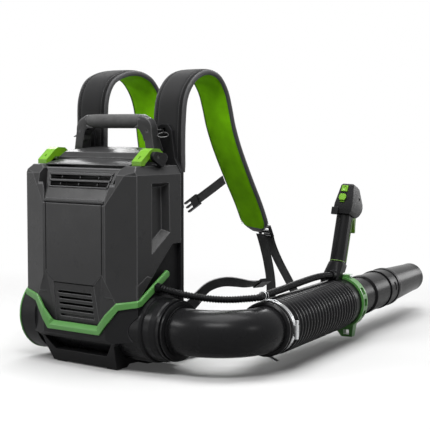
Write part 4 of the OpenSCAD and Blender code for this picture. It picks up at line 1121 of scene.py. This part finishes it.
class BLOWER_OT_straps(bpy.types.Operator):
    """Padded shoulder straps with their seams"""

    bl_idname = "blower.straps"
    bl_label = "Shoulder straps"

    def execute(self, context):
        sizes = context.scene.blower_sizes
        half, thick = sizes.strap_width / 2, sizes.strap_thickness / 2
        seams = ((0.70, -0.87), (0.905, -0.70), (0.905, 0.68))
        for name, node, line, side in (
            ("strap_right", "shoulder_strap_right", RIGHT_STRAP, 1),
            ("strap_left", "shoulder_strap_left", flipped(LEFT_STRAP), -1),
        ):
            piece, frames = strap(name, smooth_line(line), side, half, thick)
            fitted(piece, "housing", node)
            rows = [(edge * u * half, side * v * thick) for edge in (-1, 1) for u, v in seams]
            fitted(stitches(name + "_seams", frames, rows, sizes.stitch),
                   "housing")
        return {"FINISHED"}


# The back pad: width, height and depth, and its crown as (size, height) in shares of them
PAD = (0.186, 0.246, 0.022)
PAD_PLACE = Vector((0, 0.0762, 0.250))
PAD_GAP, SEAM_DEPTH = 0.0006, 0.0075
CROWN = ((0.02, 1.0), (0.2, 1.0), (0.4, 0.99), (0.58, 0.96), (0.74, 0.9), (0.86, 0.78),
         (0.94, 0.58), (0.985, 0.3), (1.0, 0.02), (0.985, -0.14), (0.95, -0.24),
         (0.86, -0.29), (0.6, -0.3), (0.3, -0.3), (0.02, -0.3))


def pad_rim(angle, width, height):
    """A point of the pad's outline, a rectangle with well rounded corners."""
    c, s = math.cos(angle), math.sin(angle)
    k = (abs(c) ** 5 + abs(s) ** 5) ** (-1 / 5)
    return width / 2 * k * c, height / 2 * k * s


class BLOWER_OT_back_pad(bpy.types.Operator):
    """Quilted pad between the backplate and the wearer's back"""

    bl_idname = "blower.back_pad"
    bl_label = "Back pad"

    def execute(self, context):
        piece = self.cushion()
        self.inflate(piece)
        self.sew(piece)
        # the pad rests flat on the plate
        for v in piece.data.vertices:
            v.co.y = max(v.co.y, BACK_FACE + PAD_GAP)
        piece.data.polygons.foreach_set("use_smooth", np.full(len(piece.data.polygons), True))
        smoothing = piece.modifiers.new("Smooth", "SUBSURF")
        smoothing.levels = smoothing.render_levels = 1
        fitted(piece, "housing", "back_pad")
        fitted(self.piping(), "housing")
        return {"FINISHED"}

    def cushion(self):
        """A crowned cushion, its sides drawn in between the corners and its back flat."""
        width, height, depth = PAD
        rings = []
        for share, lift in CROWN:
            rings.append([])
            for a in turns(120):
                x, z = pad_rim(a, width, height)
                pull = 1 - 0.012 * (math.cos(2 * a) ** 2) * (share > 0.9)
                rings[-1].append(PAD_PLACE + Vector((x * share * pull, depth * lift,
                                                     z * share * pull)))
        return Loft().stack(rings).piece("back_pad_cover", "pad mesh")

    def inflate(self, piece, pressure=3.0, cap=0.006, steps=20):
        """Fills the pad: cloth under pressure, held to within cap of its rest shape."""
        scene = bpy.context.scene
        for o in bpy.context.selected_objects:
            o.select_set(False)
        bpy.context.view_layer.objects.active = piece
        piece.select_set(True)
        remesh = piece.modifiers.new("Even mesh", "REMESH")
        remesh.mode, remesh.voxel_size = "VOXEL", 0.0055
        bpy.ops.object.modifier_apply(modifier=remesh.name)
        rest = np.array([v.co for v in piece.data.vertices])
        cloth = piece.modifiers.new("Filling", "CLOTH")
        s = cloth.settings
        s.use_pressure, s.uniform_pressure_force = True, pressure
        s.quality, s.mass = 5, 0.25
        s.tension_stiffness = s.compression_stiffness = 18
        s.bending_stiffness = 0.6
        s.effector_weights.gravity = 0
        for step in range(steps):
            scene.frame_set(step + 1)
        bpy.ops.object.modifier_apply(modifier=cloth.name)
        scene.frame_set(1)
        move = np.array([v.co for v in piece.data.vertices]) - rest
        far = np.linalg.norm(move, axis=1, keepdims=True)
        now = rest + move * np.minimum(1, cap / np.maximum(far, 1e-9))
        piece.data.vertices.foreach_set("co", now.astype(np.float32).ravel())
        piece.data.update()

    def sew(self, piece):
        """Presses the sewn channels and the rim seam into the pad's face."""
        width, height, depth = PAD
        co = np.array([v.co for v in piece.data.vertices])
        x, y, z = (co[:, k] - PAD_PLACE[k] for k in range(3))
        face = np.clip((y - 0.25 * depth) / (0.5 * depth), 0, 1)
        dent = np.zeros(len(co))
        for level in (-0.25, 0.0, 0.25):
            channel = np.exp(-(((z - level * height) / 0.0045) ** 2))
            dent = np.maximum(dent, channel * (np.abs(x) < 0.40 * width))
        edge = np.maximum(np.abs(x) / (0.43 * width), np.abs(z) / (0.445 * height))
        dent = np.maximum(dent, 0.8 * np.exp(-(((edge - 1) * 0.5 * width / 0.004) ** 2)))
        co[:, 1] -= SEAM_DEPTH * dent * face
        piece.data.vertices.foreach_set("co", co.astype(np.float32).ravel())
        piece.data.update()

    def piping(self, count=160, sides=10, overhang=0.003):
        """Piping round the pad's rim."""
        rim = []
        for a in turns(count):
            x, z = pad_rim(a, PAD[0] + overhang, PAD[1] + overhang)
            rim.append(PAD_PLACE + Vector((x, -0.0015, z)))
        rings, up = [], Vector((0, 1, 0))
        for i, p in enumerate(rim):
            d = (rim[(i + 1) % count] - rim[i - 1]).normalized()
            rings.append(ring(p, 0.0026, d.cross(up), up, sides))
        lay = [(0.001 * k, 0.005 * i, 0) for i in range(count) for k in range(sides)]
        return Loft().stack(rings, loop=True).piece("back_pad_piping", "binding", lay=lay)


# Webbing: half of its upper face from the edge to the middle, with a firmer selvedge, and
# the whole section, as (across, depth) in shares of half its width and thickness
SELVEDGE = [(1, 0), (0.985, 0.55), (0.93, 0.98), (0.86, 1.0), (0.80, 0.86), (0.3, 0.9)]
UPPER_FACE = SELVEDGE + [(-u, v) for u, v in SELVEDGE[::-1]]
WEBBING_SECTION = UPPER_FACE + [(-u, -v) for u, v in UPPER_FACE[1:-1]]

# Ways across the waist belt at its two ends, and across a band that lies level
WAIST_ACROSS, WAIST_END = (0, 0.1, 1), (0.85, -0.17, 0.5)
LEVEL = (1, 0, 0)


class BLOWER_OT_webbing(bpy.types.Operator):
    """Slack and tail strands, chest strap and waist belt"""

    bl_idname = "blower.webbing"
    bl_label = "Webbing"

    def execute(self, context):
        w, left_end = context.scene.blower_sizes.webbing_width, flipped([WAIST_END])[0]
        chest, chest_left = (0, 0.1, 1), (0, -0.23, 1)
        # name, frame node, line, ways across at both ends, width, thickness, cut end
        for name, node, line, start, end, width, thickness, cut in (
            ("slack_right", "strap_webbing", RIGHT_SLACK, LEVEL, LEVEL, w, 0.002, False),
            ("tail_right", None, RIGHT_TAIL, LEVEL, LEVEL, w, 0.002, True),
            ("slack_left", None, flipped(LEFT_SLACK), LEVEL, LEVEL, w, 0.002, False),
            ("tail_left", None, flipped(LEFT_TAIL), LEVEL, LEVEL, w, 0.002, True),
            ("chest_webbing_right", "sternum_strap", CHEST_RIGHT, chest, chest,
             0.020, 0.002, False),
            ("chest_webbing_left", None, CHEST_LEFT, chest_left, chest_left,
             0.020, 0.002, False),
            ("waist_right", "waist_belt", WAIST, WAIST_ACROSS, WAIST_END,
             0.026, 0.003, False),
            ("waist_left", None, flipped(WAIST), WAIST_ACROSS, left_end,
             0.026, 0.003, False),
        ):
            band = self.band(name, smooth_line(line), (start, end), width, thickness, cut)
            fitted(band, "housing", node)
        lines = []
        for line, end in ((WAIST, WAIST_END), (flipped(WAIST), left_end)):
            frames = band_frames(evenly(smooth_line(line), 60), WAIST_ACROSS, end)
            lines.append([p + s * 0.0124 + n * 0.0004 for p, d, s, n in frames[2:-3]])
        fitted(rods("waist_piping", lines, 0.0008, "pale piping"), "housing")
        return {"FINISHED"}

    def band(self, name, line, across, width, thickness, cut):
        """A flat woven band along a line. A cut end narrows a little."""
        total = line_length(line)
        count = max(int(total / 0.004), 3)
        rings, lay = [], []
        for i, (p, d, s, n) in enumerate(band_frames(evenly(line, count), *across)):
            along = total * i / count
            w = width / 2 * (min(1.0, 0.7 + (total - along) / 0.03) if cut else 1)
            rings.append([p + s * (w * u) + n * (thickness / 2 * v)
                          for u, v in WEBBING_SECTION])
            lay += [(w * u, along, 0) for u, v in WEBBING_SECTION]
        return Loft().stack(rings).piece(name, "webbing", lay=lay)


class BLOWER_OT_buckles(bpy.types.Operator):
    """Ladder locks and side-release buckles"""

    bl_idname = "blower.buckles"
    bl_label = "Buckles"

    def execute(self, context):
        dress({"duct plastic": "ladder_locks sternum_buckle waist_buckle"})
        return {"FINISHED"}


# ---- stage ----

# Lamps in metres and watts: name, place, aim, size and power
LAMPS = (
    ("Softbox", (1.1, -1.3, 2.2), (0.15, 0.05, 0.12), (1.3, 0.5), 52),
    ("Overhead", (0.15, 0.15, 2.3), (0.15, 0.15, 0), (1.7, 1.7), 82),
    ("Behind", (-1.5, 1.9, 1.75), (0, 0.1, 0.35), (2.2, 0.7), 46),
    ("Front left", (-1.5, -1.7, 1.7), (0, 0, 0.3), (0.9, 0.6), 27),
    ("Low left", (-1.8, -1.9, 0.45), (0, -0.1, 0.25), (1.2, 0.8), 7),
    ("Far end", (0.2, 3.5, 0.55), (0.2, 0.6, 0.1), (1.0, 0.5), 7),
    ("Right", (2.5, 0.3, 1.25), (0.2, 0.3, 0.15), (0.4, 0.4), 7),
)
WHITE = (1, 1, 1, 1)
ROOM_LIGHT = 0.03

# The floor: half its side, its grey as light falls on it and as it is seen, the glow that
# keeps what is seen white, and the distances over which it fades into the backdrop
FLOOR_HALF = 9
FLOOR_GREYS = (0.3, 0.45)
FLOOR_GLOW = 0.05
FADE_START, FADE_END = 0.8, 1.7


class BLOWER_OT_stage(bpy.types.Operator):
    """White floor, white surroundings and soft studio lamps"""

    bl_idname = "blower.stage"
    bl_label = "Stage and lamps"

    def execute(self, context):
        scene = context.scene
        backdrop = scene.blower_stage.backdrop
        scene.view_settings.view_transform = "Standard"
        scene.world = bpy.data.worlds.new("Studio")
        scene.world.use_nodes = True
        scene.world.node_tree.nodes.clear()
        tree = Tree(scene.world.node_tree)
        light, shown = (tree.add("ShaderNodeBackground", {"Color": WHITE, "Strength": strength})
                        for strength in (ROOM_LIGHT, backdrop))
        both = tree.add("ShaderNodeMixShader", {"Fac": self.seen(tree), 1: light, 2: shown})
        tree.add("ShaderNodeOutputWorld", {"Surface": both})

        self.floor_material(backdrop)
        corners = [(x * FLOOR_HALF, y * FLOOR_HALF, 0)
                   for x, y in ((-1, -1), (1, -1), (1, 1), (-1, 1))]
        Loft(corners, [(0, 1, 2, 3)]).piece("floor", "studio floor", flat=True,
                                                     outwards=False)
        for name, place, aim, size, watts in LAMPS:
            data = bpy.data.lights.new(name, "AREA")
            data.shape, data.size, data.size_y = "RECTANGLE", size[0], size[1]
            data.energy = watts
            lamp = bpy.data.objects.new(name, data)
            lamp.location = place
            way = Vector(aim) - Vector(place)
            lamp.rotation_euler = way.to_track_quat("-Z", "Y").to_euler()
            scene.collection.objects.link(lamp)
        return {"FINISHED"}

    def seen(self, tree):
        """1 for what the camera, a mirror or glass shows, 0 for light that falls on things."""
        value = tree.add("ShaderNodeLightPath", output="Is Camera Ray")
        rays = value.node.outputs
        for name in ("Is Glossy Ray", "Is Transmission Ray"):
            value = tree.add("ShaderNodeMath", {0: value, 1: rays[name]}, operation="MAXIMUM")
        return value

    def floor_material(self, brightness):
        """White as it is seen, with the object's soft shadow, and plain white far away."""
        material = bpy.data.materials.new("studio floor")
        material.use_nodes = True
        material.node_tree.nodes.clear()
        tree = Tree(material.node_tree)
        add = tree.add
        matt, lit = (add("ShaderNodeBsdfDiffuse", {"Color": (grey, grey, grey, 1)})
                     for grey in FLOOR_GREYS)
        glow, white = (add("ShaderNodeEmission", {"Strength": strength})
                       for strength in (FLOOR_GLOW * brightness, brightness))
        place = add("ShaderNodeTexCoord", output="Object")
        reach = add("ShaderNodeVectorMath", {0: place}, "Value", operation="LENGTH")
        far = add("ShaderNodeMapRange",
                  {"Value": reach, "From Min": FADE_START, "From Max": FADE_END},
                  interpolation_type="SMOOTHSTEP")
        near = add("ShaderNodeAddShader", {0: lit, 1: glow})
        shown = add("ShaderNodeMixShader", {"Fac": far, 1: near, 2: white})
        both = add("ShaderNodeMixShader", {"Fac": self.seen(tree), 1: matt, 2: shown})
        add("ShaderNodeOutputMaterial", {"Surface": both})


# ---- panel ----


class BLOWER_PT_panel(bpy.types.Panel):
    """Lists the pieces of the leaf blower and their settings"""

    bl_idname = "BLOWER_PT_panel"
    bl_label = "Leaf Blower"
    bl_space_type = "VIEW_3D"
    bl_region_type = "UI"
    bl_category = "Leaf Blower"

    def draw(self, context):
        scene = context.scene
        for title, settings in (("Sizes", scene.blower_sizes),
                                ("Colours", scene.blower_colours),
                                ("Stage", scene.blower_stage)):
            box = self.layout.box()
            box.label(text=title)
            for key in settings.__annotations__:
                box.prop(settings, key)
        column = self.layout.column(align=True)
        for operator in PIECES:
            column.operator(operator.bl_idname)


SETTINGS = (("blower_colours", BlowerColours), ("blower_sizes", BlowerSizes),
            ("blower_stage", StageSettings))
PIECES = (
    BLOWER_OT_camera,
    BLOWER_OT_cable,
    BLOWER_OT_housing,
    BLOWER_OT_drive,
    BLOWER_OT_air_path,
    BLOWER_OT_controls,
    BLOWER_OT_straps,
    BLOWER_OT_back_pad,
    BLOWER_OT_webbing,
    BLOWER_OT_buckles,
    BLOWER_OT_stage,
)


def register():
    for name, group in SETTINGS:
        bpy.utils.register_class(group)
        setattr(bpy.types.Scene, name, bpy.props.PointerProperty(type=group))
    for operator in PIECES:
        bpy.utils.register_class(operator)
    bpy.utils.register_class(BLOWER_PT_panel)


def unregister():
    bpy.utils.unregister_class(BLOWER_PT_panel)
    for operator in reversed(PIECES):
        bpy.utils.unregister_class(operator)
    for name, group in reversed(SETTINGS):
        delattr(bpy.types.Scene, name)
        bpy.utils.unregister_class(group)


def main():
    register()
    for operator in PIECES:
        area, action = operator.bl_idname.split(".")
        getattr(getattr(bpy.ops, area), action)()
    bpy.context.view_layer.update()


if __name__ == "__main__":
    main()
